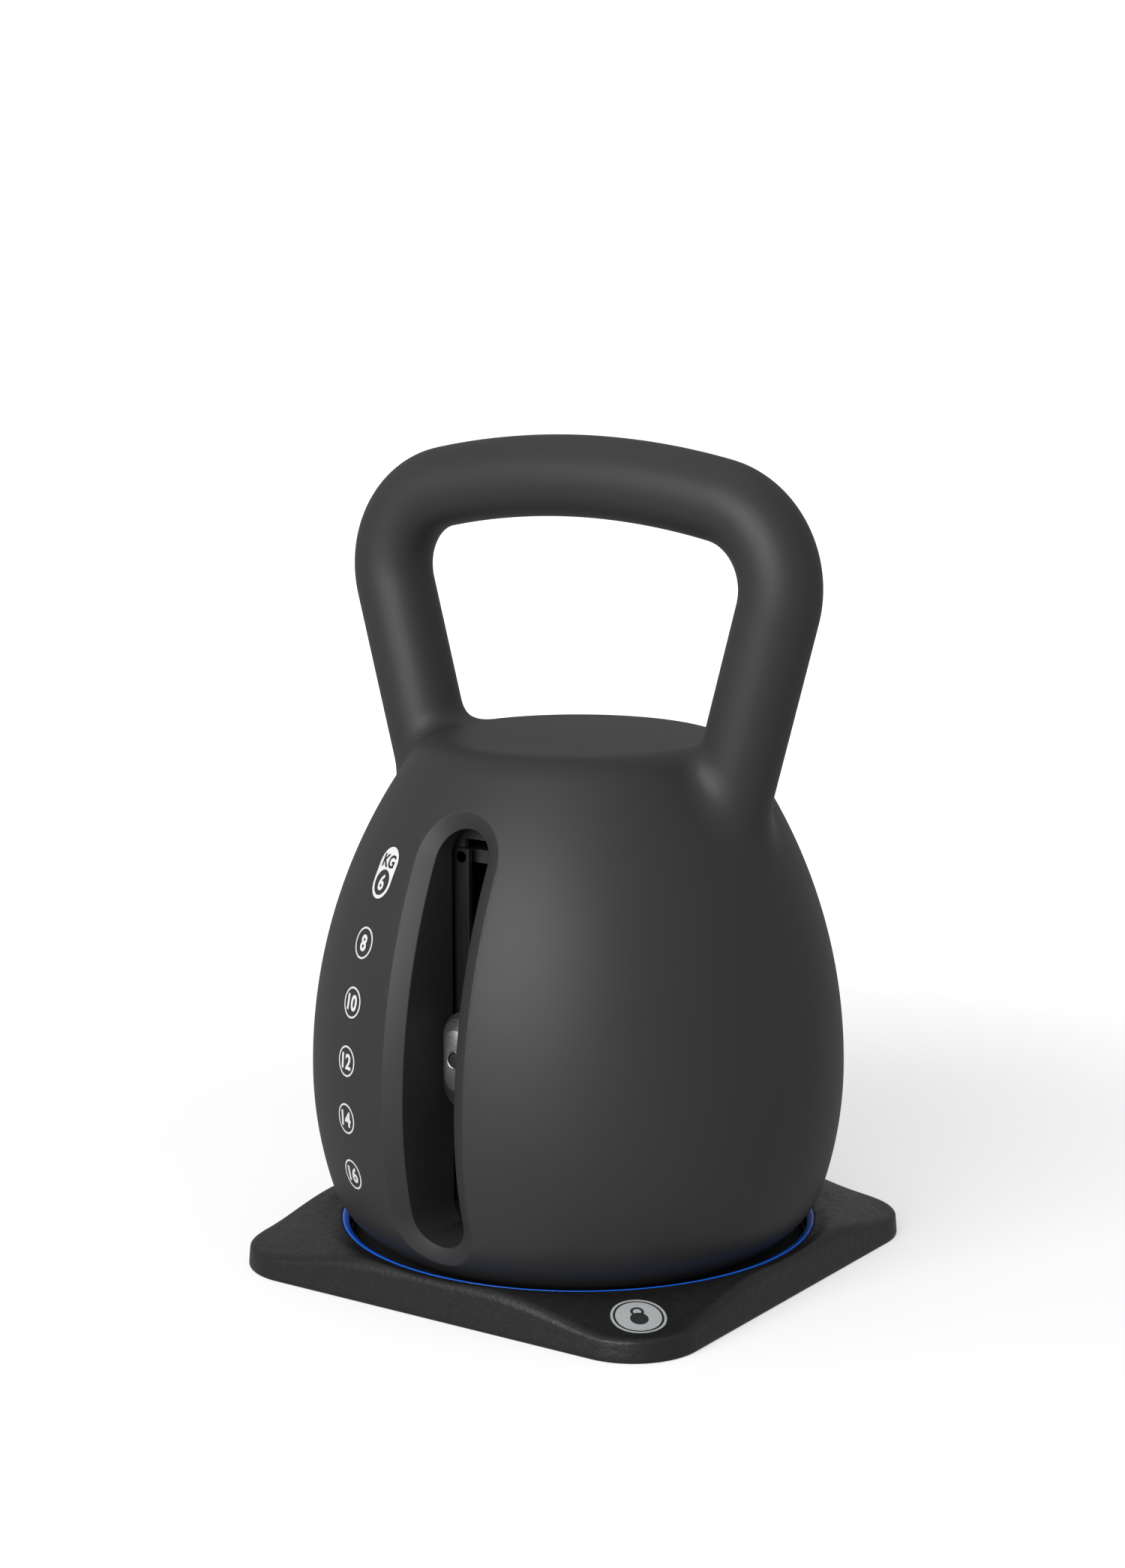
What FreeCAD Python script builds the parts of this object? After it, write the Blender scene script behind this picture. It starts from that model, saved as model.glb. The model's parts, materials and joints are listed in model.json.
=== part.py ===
import FreeCAD, Part
import os
import Sketcher
from FreeCAD import Placement, Rotation, Vector

# Adjustable kettlebell on its docking tray.
# Origin: centre of the tray's underside. +Z up, the selector slot faces -Y,
# and the handle spans X. Millimetres.

DRIVING = {
    # tray
    "tray_side": 240.0,          # width and depth of the square tray
    "tray_corner": 33.0,         # plan radius of its corners
    "tray_height": 19.4,         # height along the middle of each side
    "tray_corner_height": 13.0,  # the top droops to this at the corners
    "tray_crown_radius": 121.0,  # where the droop begins
    "tray_edge_round": 4.0,      # rounding along the top edge
    "recess_floor": 6.0,         # thickness of plastic under the bell
    "ring_outer": 111.6,         # blue accent ring
    "ring_width": 3.3,
    "ring_top": 17.6,
    "ring_depth": 5.0,
    "ring_bank": 2.5,            # run of the slope outside the ring
    "ring_chamfer": 0.7,
    "ring_fall": 1.0,            # the ring's top slopes inwards by this
    "pad_thickness": 2.0,        # rubber seat pad
    "foot_radius": 9.0,
    "foot_height": 2.0,
    "foot_inset": 34.0,
    "badge_radius": 12.6,
    "badge_thickness": 0.8,
    "badge_clearance": 0.2,
    "badge_sunk": 0.4,
    "badge_reach": 138.3,        # badge's centre, out from the tray's centre
    "tray_droop": 30.0,          # run over which the top falls to the corners
    # bell
    "bell_radius": 124.4,        # widest radius
    "bell_waist": 91.0,          # height of the widest radius
    "bell_lower_arc": 181.0,     # profile radius below it
    "bell_upper_arc": 252.0,     # profile radius above it
    "bell_bottom_round": 42.0,
    "bell_shoulder": 21.4,
    "bell_top": 246.5,
    "bell_wall": 4.0,
    "bell_bottom": 8.0,
    "mouth_radius": 72.0,        # opening under the bell
    # handle
    "crown_height": 365.3,       # centre of the bar, at mid-span
    "crown_arc": 368.0,          # the bar is slightly arched
    "corner_arc": 39.0,
    "leg_offset": 21.3,          # leg centre line: X = offset + slope Z
    "leg_slope": 0.271,
    "bolt_side": 79.0,           # X of the bolts that hold the rod's feet
    "bolt_radius": 4.0,
    "bolt_head": 7.0,
    "bolt_head_height": 4.0,
    "bolt_length": 22.0,
    "bolt_clearance": 0.3,
    "bolt_socket": 2.5,          # radius of the drive recess
    "bolt_socket_depth": 2.5,
    "grip_diameter": 37.3,
    "rod_diameter": 20.0,        # steel rod inside the moulded grip
    "rod_clearance": 0.3,
    "frame_top": 203.0,          # the rod's feet stand on the frame here
    "frame_thickness": 6.0,
    "frame_radius": 92.0,
    # slot
    "slot_half": 14.0,           # half width of the opening
    "slot_low": 29.5,
    "slot_high": 215.5,
    "slot_bevel": 6.5,
    "lip_width": 8.0,            # thicker band round the opening
    "lip_depth": 13.0,
    "lip_clearance": 0.5,        # between the lip and what stands beside it
    "channel_wall": 2.5,
    "channel_gap": 0.2,          # between the channel and the lip in front of it
    "channel_back": 72.5,        # distance of the back wall in front of the axis
    "bay_half": 17.5,            # the channel widens here, behind the slot
    "bay_front": 78.0,           # distance of the widening in front of the axis
    "slit_half": 12.0,           # slit in the back wall
    "slit_foot": 4.0,            # the slit starts this far above the slot's lower end
    "slit_head": 7.5,            # and stops this far below its upper end
    # guide rails
    "rail_inner": 8.0,
    "rail_width": 8.0,
    "rail_thickness": 3.0,
    "rail_inset": 11.5,          # the rails stop this far inside the slot's ends
    "rail_screw": 1.2,
    "rail_screw_head": 2.6,
    "rail_screw_sink": 1.5,
    "rail_screw_inset": 4.0,
    "screw_clearance": 0.2,
    "strip_thickness": 1.1,      # notch strip, let into the slot's right wall
    "strip_half_width": 3.0,
    "strip_proud": 0.1,
    "strip_margin": 5.0,         # strip beyond its first and last dimple
    "dimple_radius": 1.2,
    # weight plates
    "plate_pitch": 26.5,
    "plate_radius": 65.0,
    "plate_thickness": 19.5,
    "plate_base": 43.8,          # underside of the lowest plate
    "plate_hub": 32.0,
    "hub_fillet": 2.0,
    "spigot_radius": 18.0,
    "spigot_height": 3.0,
    "spigot_edge": 0.6,
    "spigot_clearance": 0.4,
    "plate_edge": 1.5,
    "sleeve_bore": 67.5,
    "sleeve_wall": 2.5,
    "collar_height": 3.0,
    "collar_lap": 4.0,           # collar beyond the bell's mouth
    "damper_radius": 45.0,
    "damper_gap": 0.7,
    "pedestal_radius": 50.0,
    "pedestal_wall": 4.0,
    "pedestal_flange": 7.0,
    "pedestal_flange_height": 3.0,
    "pedestal_shoulder": 8.0,
    "pedestal_screw": 1.5,
    "pedestal_screw_head": 2.6,
    "pedestal_screw_head_height": 1.6,
    "pedestal_screw_length": 5.8,
    "ballast_top": 128.0,        # the filler stops here, so the bell's weight sits low
    "ballast_gap": 1.0,          # round the sleeve
    "ballast_half_gap": 0.5,     # each side of the parting line
    # selector
    "knob_height": 113.3,        # height of the knob's centre at rest
    "knob_half_width": 9.5,
    "knob_half_height": 18.2,
    "knob_face": 98.2,           # distance of the knob's face in front of the axis
    "knob_depth": 10.0,
    "knob_round": 5.0,           # rounding of the knob's front edge
    "knob_screw": 1.2,
    "knob_screw_head": 2.2,
    "knob_screw_head_height": 1.7,
    "knob_screw_inset": 3.3,     # from the knob's side
    "knob_screw_rise": 8.5,      # above the knob's centre
    "knob_tap_depth": 6.0,
    "bezel_width": 1.1,
    "bezel_thickness": 0.9,
    "bezel_proud": 0.1,
    "block_clearance": 0.5,      # each side of the block in the slot
    "block_rise": 20.0,          # block above the knob's centre
    "block_drop": 26.5,          # block below it
    "block_back": 76.0,          # the block's rear face, in front of the axis
    "tongue_drop": 20.0,         # tongue below the knob's centre
    "tongue_half_width": 7.0,
    "tongue_thickness": 4.5,
    "tongue_tip": 66.6,
    "button_radius": 3.2,
    "button_sunk": 0.4,
    "button_back_gap": 1.8,      # cap's back, in front of the block
    "button_travel": 5.0,
    "stem_radius": 1.6,
    "stem_clearance": 0.4,
    "button_coil_inset": 0.1,    # return spring, inside the button's radius
    "button_coil_bore": 1.9,
    "coil_seat": 4.0,            # depth of the spring's seat in the block
    "pivot_drop": 7.0,           # lever pivot below the button
    "pivot_forward": 79.0,       # lever pivot in front of the axis
    "lever_half_width": 2.0,
    "lever_half_thickness": 1.5,
    "pin_radius": 1.2,
    "pin_clearance": 0.1,
    "ball_radius": 2.1,
    "ball_clearance": 0.3,
    "ball_depth": 7.0,           # ball's centre in front of the block's rear face
    "ball_way_depth": 10.0,
    "detent_coil": 2.0,
    "detent_coil_bore": 1.2,
    "detent_coil_length": 4.4,
    "slide_gap": 0.3,            # clearance between moving faces
}

DIAGONAL = 0.70711               # X and Y of a unit length at 45 degrees
LEVER_LEAN = 20.92               # degrees off upright: its top moves half the button's travel
WEIGHTS = (8, 10, 12, 14, 16)    # setting at which each plate is picked up, top plate first
BEYOND = 140                     # past the outside of everything
PAST = 1                         # how far a cutting tool runs past the face it opens

document = FreeCAD.newDocument("kettlebell")
sheet = document.addObject("Spreadsheet::Sheet", "Sizes")
for row, (alias, amount) in enumerate(DRIVING.items(), start=1):
    sheet.set(f"A{row}", alias.replace("_", " "))
    sheet.set(f"B{row}", str(amount))
    sheet.setAlias(f"B{row}", alias)
document.recompute()


class Length:
    """A number together with the expression that gives it from the sheet."""

    def __init__(self, amount, text):
        self.amount = float(amount)
        self.text = text

    def __add__(self, other):
        other = length(other)
        return Length(self.amount + other.amount, f"({self.text} + {other.text})")

    def __sub__(self, other):
        other = length(other)
        return Length(self.amount - other.amount, f"({self.text} - {other.text})")

    def __mul__(self, other):
        other = length(other)
        return Length(self.amount * other.amount, f"({self.text} * {other.text})")

    def __truediv__(self, other):
        other = length(other)
        return Length(self.amount / other.amount, f"({self.text} / {other.text})")

    def __rsub__(self, other):
        return length(other) - self

    def __neg__(self):
        return length(0) - self

    __radd__ = __add__
    __rmul__ = __mul__

    def root(self):
        return Length(self.amount ** 0.5, f"sqrt({self.text})")


def length(value):
    return value if isinstance(value, Length) else Length(value, repr(float(value)))


class Sizes:
    """The sheet's driving sizes, by alias."""

    def __getattr__(self, alias):
        return Length(sheet.get(alias), f"Sizes.{alias}")


size = Sizes()
subparts = []

# places that several sub-parts share
front_clear = size.bay_half + size.channel_wall + 1
lip_clear = size.slot_half + size.lip_width + size.lip_clearance
slit_low = size.slot_low + size.slit_foot
slit_high = size.slot_high - size.slit_head
rail_low = size.slot_low + size.rail_inset
rail_high = size.slot_high - size.rail_inset
rail_face = size.channel_back + size.rail_thickness
frame_low = size.frame_top - size.frame_thickness
shell_floor = size.bell_bottom + size.bell_wall
sleeve_radius = size.sleeve_bore + size.sleeve_wall
stack_top = size.plate_base + size.plate_pitch * len(WEIGHTS)
droop_slope = (size.tray_height - size.tray_corner_height) / size.tray_droop
badge_at = size.badge_reach * DIAGONAL
badge_level = size.tray_height - (size.badge_reach - size.tray_crown_radius) * droop_slope
pivot_height = size.knob_height - size.pivot_drop
tongue_height = size.knob_height - size.tongue_drop
tongue_half_height = size.tongue_thickness / 2
knob_back = size.knob_face - size.knob_depth
cap_back = knob_back + size.button_back_gap
block_half = size.slot_half - size.block_clearance
button_bore = size.button_radius + size.slide_gap
bezel_radius = size.button_radius + size.bezel_width
screw_side = size.knob_half_width - size.knob_screw_inset
screw_height = size.knob_height + size.knob_screw_rise
strip_face = size.slot_half - size.strip_proud
ball_side = strip_face - size.ball_clearance - size.ball_radius
ball_forward = size.block_back + size.ball_depth
ball_height = pivot_height
lever_top_lean = size.button_travel / 2
lever_foot_lean = lever_top_lean * (size.tongue_drop - size.pivot_drop) / size.pivot_drop


def bind(thing, name, value):
    value = length(value)
    thing.setExpression(name, value.text)


def place(thing, x=0, y=0, z=0):
    for letter, value in zip("xyz", (x, y, z)):
        bind(thing, f".Placement.Base.{letter}", value)


def box(name, x, y, z):
    """A box from three (low, high) pairs."""
    thing = document.addObject("Part::Box", name)
    for side, (low, high) in zip(("Length", "Width", "Height"), (x, y, z)):
        bind(thing, side, length(high) - low)
    place(thing, x[0], y[0], z[0])
    return thing


TURNS = {
    "Z": Rotation(),
    "-Z": Rotation(Vector(1, 0, 0), 180),
    "Y": Rotation(Vector(1, 0, 0), -90),
    "X": Rotation(Vector(0, 1, 0), 90),
}


def rod(name, radius, long, x=0, y=0, z=0, along="Z"):
    thing = document.addObject("Part::Cylinder", name)
    thing.Placement = Placement(Vector(), TURNS[along])
    bind(thing, "Radius", radius)
    bind(thing, "Height", long)
    place(thing, x, y, z)
    return thing


def cone(name, foot, tip, long, x=0, y=0, z=0, along="Z"):
    thing = document.addObject("Part::Cone", name)
    thing.Placement = Placement(Vector(), TURNS[along])
    bind(thing, "Radius1", foot)
    bind(thing, "Radius2", tip)
    bind(thing, "Height", long)
    place(thing, x, y, z)
    return thing


def cut(name, base, *tools):
    for step, tool in enumerate(tools):
        thing = document.addObject("Part::Cut", f"{name}_{step}")
        thing.Base = base
        thing.Tool = tool
        base = thing
    return base


def fuse(name, *shapes):
    thing = document.addObject("Part::MultiFuse", name)
    thing.Shapes = list(shapes)
    thing.Refine = True
    return thing


def common(name, first, second):
    thing = document.addObject("Part::Common", name)
    thing.Base = first
    thing.Tool = second
    return thing


def softened(kind, name, base, amount, wanted):
    """Fillet or chamfer the wanted edges of the base."""
    document.recompute()
    thing = document.addObject(f"Part::{kind}", name)
    thing.Base = base
    thing.Edges = [(number, amount.amount, amount.amount)
                   for number, edge in enumerate(base.Shape.Edges, start=1) if wanted(edge)]
    return thing


def subpart(label, thing):
    thing.Label = label
    subparts.append(thing)
    return thing


def body_plane(body, role):
    for plane in body.Origin.OriginFeatures:
        if plane.Role == role:
            return plane


def new_sketch(body, role, name):
    sketch = body.newObject("Sketcher::SketchObject", name)
    sketch.AttachmentSupport = [(body_plane(body, role), "")]
    sketch.MapMode = "FlatFace"
    return sketch


def pin_point(sketch, geometry, end, x, y):
    """Fix one end point of a sketch curve at sheet-driven coordinates."""
    for kind, axis, value in (("DistanceX", -2, x), ("DistanceY", -1, y)):
        value = length(value)
        if value.text == "0.0":
            sketch.addConstraint(Sketcher.Constraint("PointOnObject", geometry, end, axis))
            continue
        at = sketch.addConstraint(
            Sketcher.Constraint(kind, -1, 1, geometry, end, value.amount))
        sketch.setExpression(f"Constraints[{at}]", value.text)


def middle_of_arc(start, finish, radius):
    """A point half-way along the arc; a positive radius bulges to the right of the way."""
    chord = finish - start
    half = chord.Length / 2
    bulge = abs(radius) - max(radius * radius - half * half, 0.0) ** 0.5
    across = Vector(chord.y, -chord.x, 0).normalize()
    side = 1 if radius > 0 else -1
    return (start + finish) / 2 + across * bulge * side


def outline(sketch, corners, closed=True):
    """Draw corners (x, y, radius of the stretch that leaves it, or None for a line)."""
    here = [Vector(length(x).amount, length(y).amount, 0) for x, y, _ in corners]
    stretches = len(corners) if closed else len(corners) - 1
    for at in range(stretches):
        start = here[at]
        finish = here[(at + 1) % len(here)]
        radius = corners[at][2]
        if radius is None:
            sketch.addGeometry(Part.LineSegment(start, finish), False)
            continue
        middle = middle_of_arc(start, finish, length(radius).amount)
        sketch.addGeometry(Part.Arc(start, middle, finish), False)
    for at in range(stretches):
        tail = arc_ends(sketch, at, here[at])
        pin_point(sketch, at, tail, corners[at][0], corners[at][1])
        if not closed and at == stretches - 1:
            pin_point(sketch, at, 3 - tail, corners[at + 1][0], corners[at + 1][1])
        else:
            after = (at + 1) % stretches
            sketch.addConstraint(Sketcher.Constraint(
                "Coincident", at, 3 - tail, after, arc_ends(sketch, after, here[after])))
        if corners[at][2] is not None:
            hold_radius(sketch, at, length(corners[at][2]), here[at], here[(at + 1) % len(here)],
                        length(corners[at][1]))


def hold_radius(sketch, geometry, radius, start, finish, level):
    """Fix an arc's radius; a half circle is fixed by the height of its centre instead."""
    if abs(abs(radius.amount) * 2 - (finish - start).Length) < 1e-6:
        held = sketch.addConstraint(
            Sketcher.Constraint("DistanceY", -1, 1, geometry, 3, level.amount))
        sketch.setExpression(f"Constraints[{held}]", level.text)
        return
    if radius.amount < 0:
        radius = -radius
    held = sketch.addConstraint(Sketcher.Constraint("Radius", geometry, radius.amount))
    sketch.setExpression(f"Constraints[{held}]", radius.text)


def arc_ends(sketch, geometry, start):
    """Which end of the curve lies at start: 1 or 2."""
    near = (sketch.getPoint(geometry, 1) - start).Length
    far = (sketch.getPoint(geometry, 2) - start).Length
    return 1 if near < far else 2


def turned(name, corners):
    """A solid of revolution about Z from a half profile of (radius, height, arc)."""
    body = document.addObject("PartDesign::Body", name)
    sketch = new_sketch(body, "XZ_Plane", f"{name}_profile")
    outline(sketch, corners)
    turn = body.newObject("PartDesign::Revolution", f"{name}_turn")
    turn.Profile = sketch
    turn.ReferenceAxis = (sketch, ["V_Axis"])
    turn.Angle = 360.0
    body.Tip = turn
    return body


def padded(name, role, corners, low, high):
    """A prism: the outline on one of the origin planes, raised from low to high."""
    body = document.addObject("PartDesign::Body", name)
    sketch = new_sketch(body, role, f"{name}_outline")
    outline(sketch, corners)
    pad = body.newObject("PartDesign::Pad", f"{name}_pad")
    pad.Profile = sketch
    bind(pad, "Length", length(high) - low)
    body.Tip = pad
    if role == "XY_Plane":
        place(body, 0, 0, low)
    else:
        place(body, 0, high, 0)
    return body


def stadium(half, low, high):
    """Upright slot outline in X and Z with round ends."""
    top = length(high) - half
    foot = length(low) + half
    return [
        (half, foot, None),
        (half, top, half),
        (-half, top, None),
        (-half, foot, half),
    ]


def slot_prism(name, half, low, high, front, back):
    """The slot outline run from y = -front to y = -back."""
    corners = stadium(half, low, high)
    return padded(name, "XZ_Plane", corners, -length(front), -length(back))


def bell_profile(inset):
    """Half profile of the bell's outside, moved inwards by inset."""
    waist = size.bell_waist
    lower = size.bell_lower_arc
    upper = size.bell_upper_arc
    foot_round = size.bell_bottom_round
    shoulder = size.bell_shoulder
    lower_x = size.bell_radius - lower
    upper_x = size.bell_radius - upper
    foot_rise = waist - size.bell_bottom - foot_round
    top_rise = size.bell_top - shoulder - waist
    foot_reach = lower - foot_round
    top_reach = upper - shoulder
    foot_run = (foot_reach * foot_reach - foot_rise * foot_rise).root()
    top_run = (top_reach * top_reach - top_rise * top_rise).root()
    lower_in = lower - inset
    upper_in = upper - inset
    return [
        (0, size.bell_bottom + inset, None),
        (lower_x + foot_run, size.bell_bottom + inset, foot_round - inset),
        (lower_x + foot_run / foot_reach * lower_in,
         waist - foot_rise / foot_reach * lower_in, lower_in),
        (size.bell_radius - inset, waist, upper_in),
        (upper_x + top_run / top_reach * upper_in,
         waist + top_rise / top_reach * upper_in, shoulder - inset),
        (upper_x + top_run, size.bell_top - inset, None),
        (0, size.bell_top - inset, None),
    ]


def handle_half(name, radius, foot):
    """Half of the handle's bar as a swept rod, from mid-span down to a flat foot."""
    slope = size.leg_slope
    lean = (slope * slope + 1).root()
    crown_z = size.crown_height - size.crown_arc
    reach = size.crown_arc - size.corner_arc
    start = size.leg_offset - size.corner_arc * lean
    half_b = slope * start - crown_z
    inner = half_b * half_b - lean * lean * (start * start + crown_z * crown_z - reach * reach)
    corner_z = (inner.root() - half_b) / (lean * lean)
    corner_x = start + slope * corner_z
    bend_x = corner_x * size.crown_arc / reach
    bend_z = crown_z + (corner_z - crown_z) * size.crown_arc / reach
    leg_x = corner_x + size.corner_arc / lean
    leg_z = corner_z - size.corner_arc * slope / lean
    low = length(foot) - size.grip_diameter
    body = document.addObject("PartDesign::Body", name)
    path = new_sketch(body, "XZ_Plane", f"{name}_path")
    outline(path, [
        (0, size.crown_height, -size.crown_arc),
        (bend_x, bend_z, -size.corner_arc),
        (leg_x, leg_z, None),
        (size.leg_offset + slope * low, low, None),
    ], closed=False)
    ring = new_sketch(body, "YZ_Plane", f"{name}_section")
    ring.addGeometry(Part.Circle(Vector(0, size.crown_height.amount, 0), Vector(0, 0, 1),
                                 length(radius).amount), False)
    held = ring.addConstraint(Sketcher.Constraint("Radius", 0, length(radius).amount))
    ring.setExpression(f"Constraints[{held}]", length(radius).text)
    pin_point(ring, 0, 3, 0, size.crown_height)
    pipe = body.newObject("PartDesign::AdditivePipe", f"{name}_pipe")
    pipe.Profile = ring
    pipe.Spine = path
    body.Tip = pipe
    return body


def handle_bar(name, radius, foot):
    """Both halves of the bar, trimmed level at the foot."""
    right = handle_half(f"{name}_right", radius, foot)
    left = document.addObject("Part::Mirroring", f"{name}_left")
    left.Source = right
    left.Normal = Vector(1, 0, 0)
    whole = fuse(f"{name}_whole", right, left)
    below = box(f"{name}_trim", (-BEYOND, BEYOND), (-BEYOND, BEYOND), (length(foot) - BEYOND, foot))
    return cut(f"{name}_bar", whole, below)


def make_shell():
    """Moulded bell: a hollow body, the slot's thicker lip and the grip in one piece."""
    opening = slot_prism("slot_opening", size.slot_half, size.slot_low, size.slot_high,
                         BEYOND, size.channel_back)
    pocketed = cut("bell_pocketed", turned("bell_outside", bell_profile(0)), opening)
    outside = softened("Chamfer", "slot_bevel", pocketed, size.slot_bevel, on_slot_rim)
    hollow = turned("bell_hollow", bell_profile(size.bell_wall))
    deep = turned("bell_behind_lip", bell_profile(size.lip_depth))
    wall = cut("bell_wall_shell", outside, hollow)
    band = slot_prism("lip_prism", size.slot_half + size.lip_width,
                      size.slot_low - size.lip_width, size.slot_high + size.lip_width,
                      BEYOND, size.channel_back)
    lip = cut("slot_lip", common("lip_block", outside, band), deep)
    grip = handle_bar("grip", size.grip_diameter / 2, size.frame_top)
    whole = fuse("shell_blank", wall, lip, grip)
    mouth = rod("bell_mouth", size.mouth_radius, size.bell_wall + 2 * PAST,
                z=size.bell_bottom - PAST)
    bore = handle_bar("rod_bore", size.rod_diameter / 2 + size.rod_clearance, size.frame_top)
    return cut("shell_cut", whole, mouth, bore)


def on_slot_rim(edge):
    """Whether an edge lies where the slot's walls meet the bell's outside."""
    reach = edge.BoundBox
    narrow = max(-reach.XMin, reach.XMax) < size.slot_half.amount + 0.1
    return narrow and reach.YMax < -(size.channel_back.amount + size.slot_bevel.amount)


def make_handle_rod():
    """Solid steel rod that carries the load inside the moulded grip."""
    bar = handle_bar("rod", size.rod_diameter / 2, size.frame_top)
    deep = size.bolt_length - size.frame_thickness + 2 * PAST
    holes = [rod(f"rod_tap_{side}", size.bolt_radius + size.bolt_clearance, deep + PAST,
                 size.bolt_side * side, 0, size.frame_top - PAST) for side in (-1, 1)]
    subpart("handle_rod", cut("rod_tapped", bar, *holes))


def make_top_frame():
    """Steel plate that ties the rod's feet together above the weight stack."""
    loose = size.bolt_clearance
    disc = rod("frame_disc", size.frame_radius, size.frame_thickness, z=frame_low)
    notch = box("frame_notch", (-lip_clear, lip_clear), (-BEYOND, -size.channel_back + 3),
                (frame_low - PAST, size.frame_top + PAST))
    tools = [notch]
    bolts = []
    for side in (-1, 1):
        x = size.bolt_side * side
        tools.append(rod(f"frame_hole_{side}", size.bolt_radius + loose,
                         size.frame_thickness + 2 * PAST, x, 0, frame_low - PAST))
        tools.append(cone(f"frame_sink_{side}", size.bolt_head + loose, size.bolt_radius + loose,
                          size.bolt_head_height, x, 0, frame_low))
        shank = rod(f"bolt_shank_{side}", size.bolt_radius, size.bolt_length, x, 0, frame_low)
        head = cone(f"bolt_head_{side}", size.bolt_head, size.bolt_radius,
                    size.bolt_head_height, x, 0, frame_low)
        socket = rod(f"bolt_socket_{side}", size.bolt_socket, size.bolt_socket_depth + PAST,
                     x, 0, frame_low - PAST)
        bolts.append(cut(f"bolt_{side}", fuse(f"bolt_blank_{side}", shank, head), socket))
    subpart("top_frame", cut("frame_cut", disc, *tools))
    subpart("frame_bolts", group("frame_bolts", bolts))


def group(name, things):
    """Separate solids of one kind kept together as one node."""
    thing = document.addObject("Part::Compound", f"{name}_group")
    thing.Links = things
    return thing


def make_sleeve():
    """Tube that the plates run in, standing on a collar at the bell's mouth."""
    collar_high = shell_floor + size.collar_height
    rim = size.mouth_radius + size.collar_lap
    subpart("mouth_collar", turned("collar", [
        (size.sleeve_bore, shell_floor, None),
        (rim, shell_floor, None),
        (rim, collar_high, None),
        (size.sleeve_bore, collar_high, None),
    ]))
    long = frame_low - collar_high
    tube = cut("sleeve_tube", rod("sleeve_outside", sleeve_radius, long, z=collar_high),
               rod("sleeve_inside", size.sleeve_bore, long + 2 * PAST, z=collar_high - PAST))
    gate = box("sleeve_gate", (-size.slit_half - 1, size.slit_half + 1),
               (-size.bay_front, -size.sleeve_bore / 2), (size.slot_low, frame_low + PAST))
    subpart("plate_sleeve", cut("sleeve_cut", tube, gate))


def make_ballast():
    """Two cast filler halves in the space between the sleeve and the bell's wall."""
    low = shell_floor + size.collar_height
    high = size.ballast_top
    inner = sleeve_radius + size.ballast_gap
    edge = size.ballast_half_gap
    for name, side in (("left", -1), ("right", 1)):
        ring = cut(f"ballast_ring_{name}",
                   rod(f"ballast_outside_{name}", BEYOND, high - low, z=low),
                   rod(f"ballast_inside_{name}", inner, high - low + 2 * PAST, z=low - PAST))
        limit = turned(f"ballast_limit_{name}", bell_profile(size.lip_depth + size.lip_clearance))
        filled = common(f"ballast_fill_{name}", ring, limit)
        heights = (low - PAST, high + PAST)
        front = box(f"ballast_front_{name}", (-front_clear, front_clear),
                    (-BEYOND, -size.sleeve_bore / 2), heights)
        away = (-edge, BEYOND) if side < 0 else (-BEYOND, edge)
        other = box(f"ballast_half_{name}", away, (-BEYOND, BEYOND), heights)
        subpart(f"ballast_{name}", cut(f"ballast_cut_{name}", filled, front, other))


def make_channel():
    """Trough behind the slot, with a wider bay for the rails and a slit in its back wall."""
    wall = size.channel_wall
    low = size.slot_low
    high = size.slot_high
    back = size.channel_back
    outer = fuse("channel_outside", *[
        slot_prism(f"channel_outside_{name}", half + wall, low - wall, high + wall, front,
                   back - wall)
        for name, half, front in (("slot", size.slot_half, BEYOND),
                                  ("bay", size.bay_half, size.bay_front + wall))])
    limit = turned("channel_limit", bell_profile(size.lip_depth + size.channel_gap))
    inner = slot_prism("channel_inside", size.slot_half, low, high, BEYOND, back)
    bay = slot_prism("channel_bay", size.bay_half, low, high, size.bay_front, back)
    slit = box("channel_slit", (-size.slit_half, size.slit_half), (-back - PAST, -back + wall + PAST),
               (slit_low, slit_high))
    groove = box("channel_groove", (strip_face, strip_face + size.strip_thickness),
                 *strip_span())
    subpart("slot_channel", cut("channel_cut", common("channel_blank", outer, limit),
                                inner, bay, slit, groove))


def strip_span():
    """The notch strip's (front, back) and (low, high)."""
    low = ball_height - size.plate_pitch * 2 - size.strip_margin
    high = ball_height + size.plate_pitch * 3 + size.strip_margin
    return ((-ball_forward - size.strip_half_width, -ball_forward + size.strip_half_width),
            (low, high))


def make_rails():
    """Two flat steel rails on the back wall, and the screws that hold them."""
    back = -size.channel_back
    thick = size.rail_thickness
    centre = size.rail_inner + size.rail_width / 2
    hole = size.rail_screw + size.screw_clearance
    sink = size.rail_screw_sink
    screws = []
    for name, side in (("left", -1), ("right", 1)):
        near = size.rail_inner * side
        far = near + size.rail_width * side
        span = (near, far) if side > 0 else (far, near)
        blank = box(f"rail_blank_{name}", span, (-rail_face, back), (rail_low, rail_high))
        sinks = []
        for end, z in (("low", rail_low + size.rail_screw_inset),
                       ("high", rail_high - size.rail_screw_inset)):
            key = f"{name}_{end}"
            x = centre * side
            sinks.append(rod(f"rail_hole_{key}", hole, thick + 2 * PAST, x, -rail_face - PAST, z, "Y"))
            sinks.append(cone(f"rail_sink_{key}", size.rail_screw_head + size.screw_clearance, hole,
                              sink + size.screw_clearance / 2, x, -rail_face, z, "Y"))
            shank = rod(f"rail_shank_{key}", size.rail_screw, thick, x, -rail_face, z, "Y")
            head = cone(f"rail_head_{key}", size.rail_screw_head, size.rail_screw, sink,
                        x, -rail_face, z, "Y")
            screws.append(fuse(f"rail_screw_{key}", shank, head))
        subpart(f"guide_rail_{name}", cut(f"rail_cut_{name}", blank, *sinks))
    subpart("rail_screws", group("rail_screws", screws))


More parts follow.
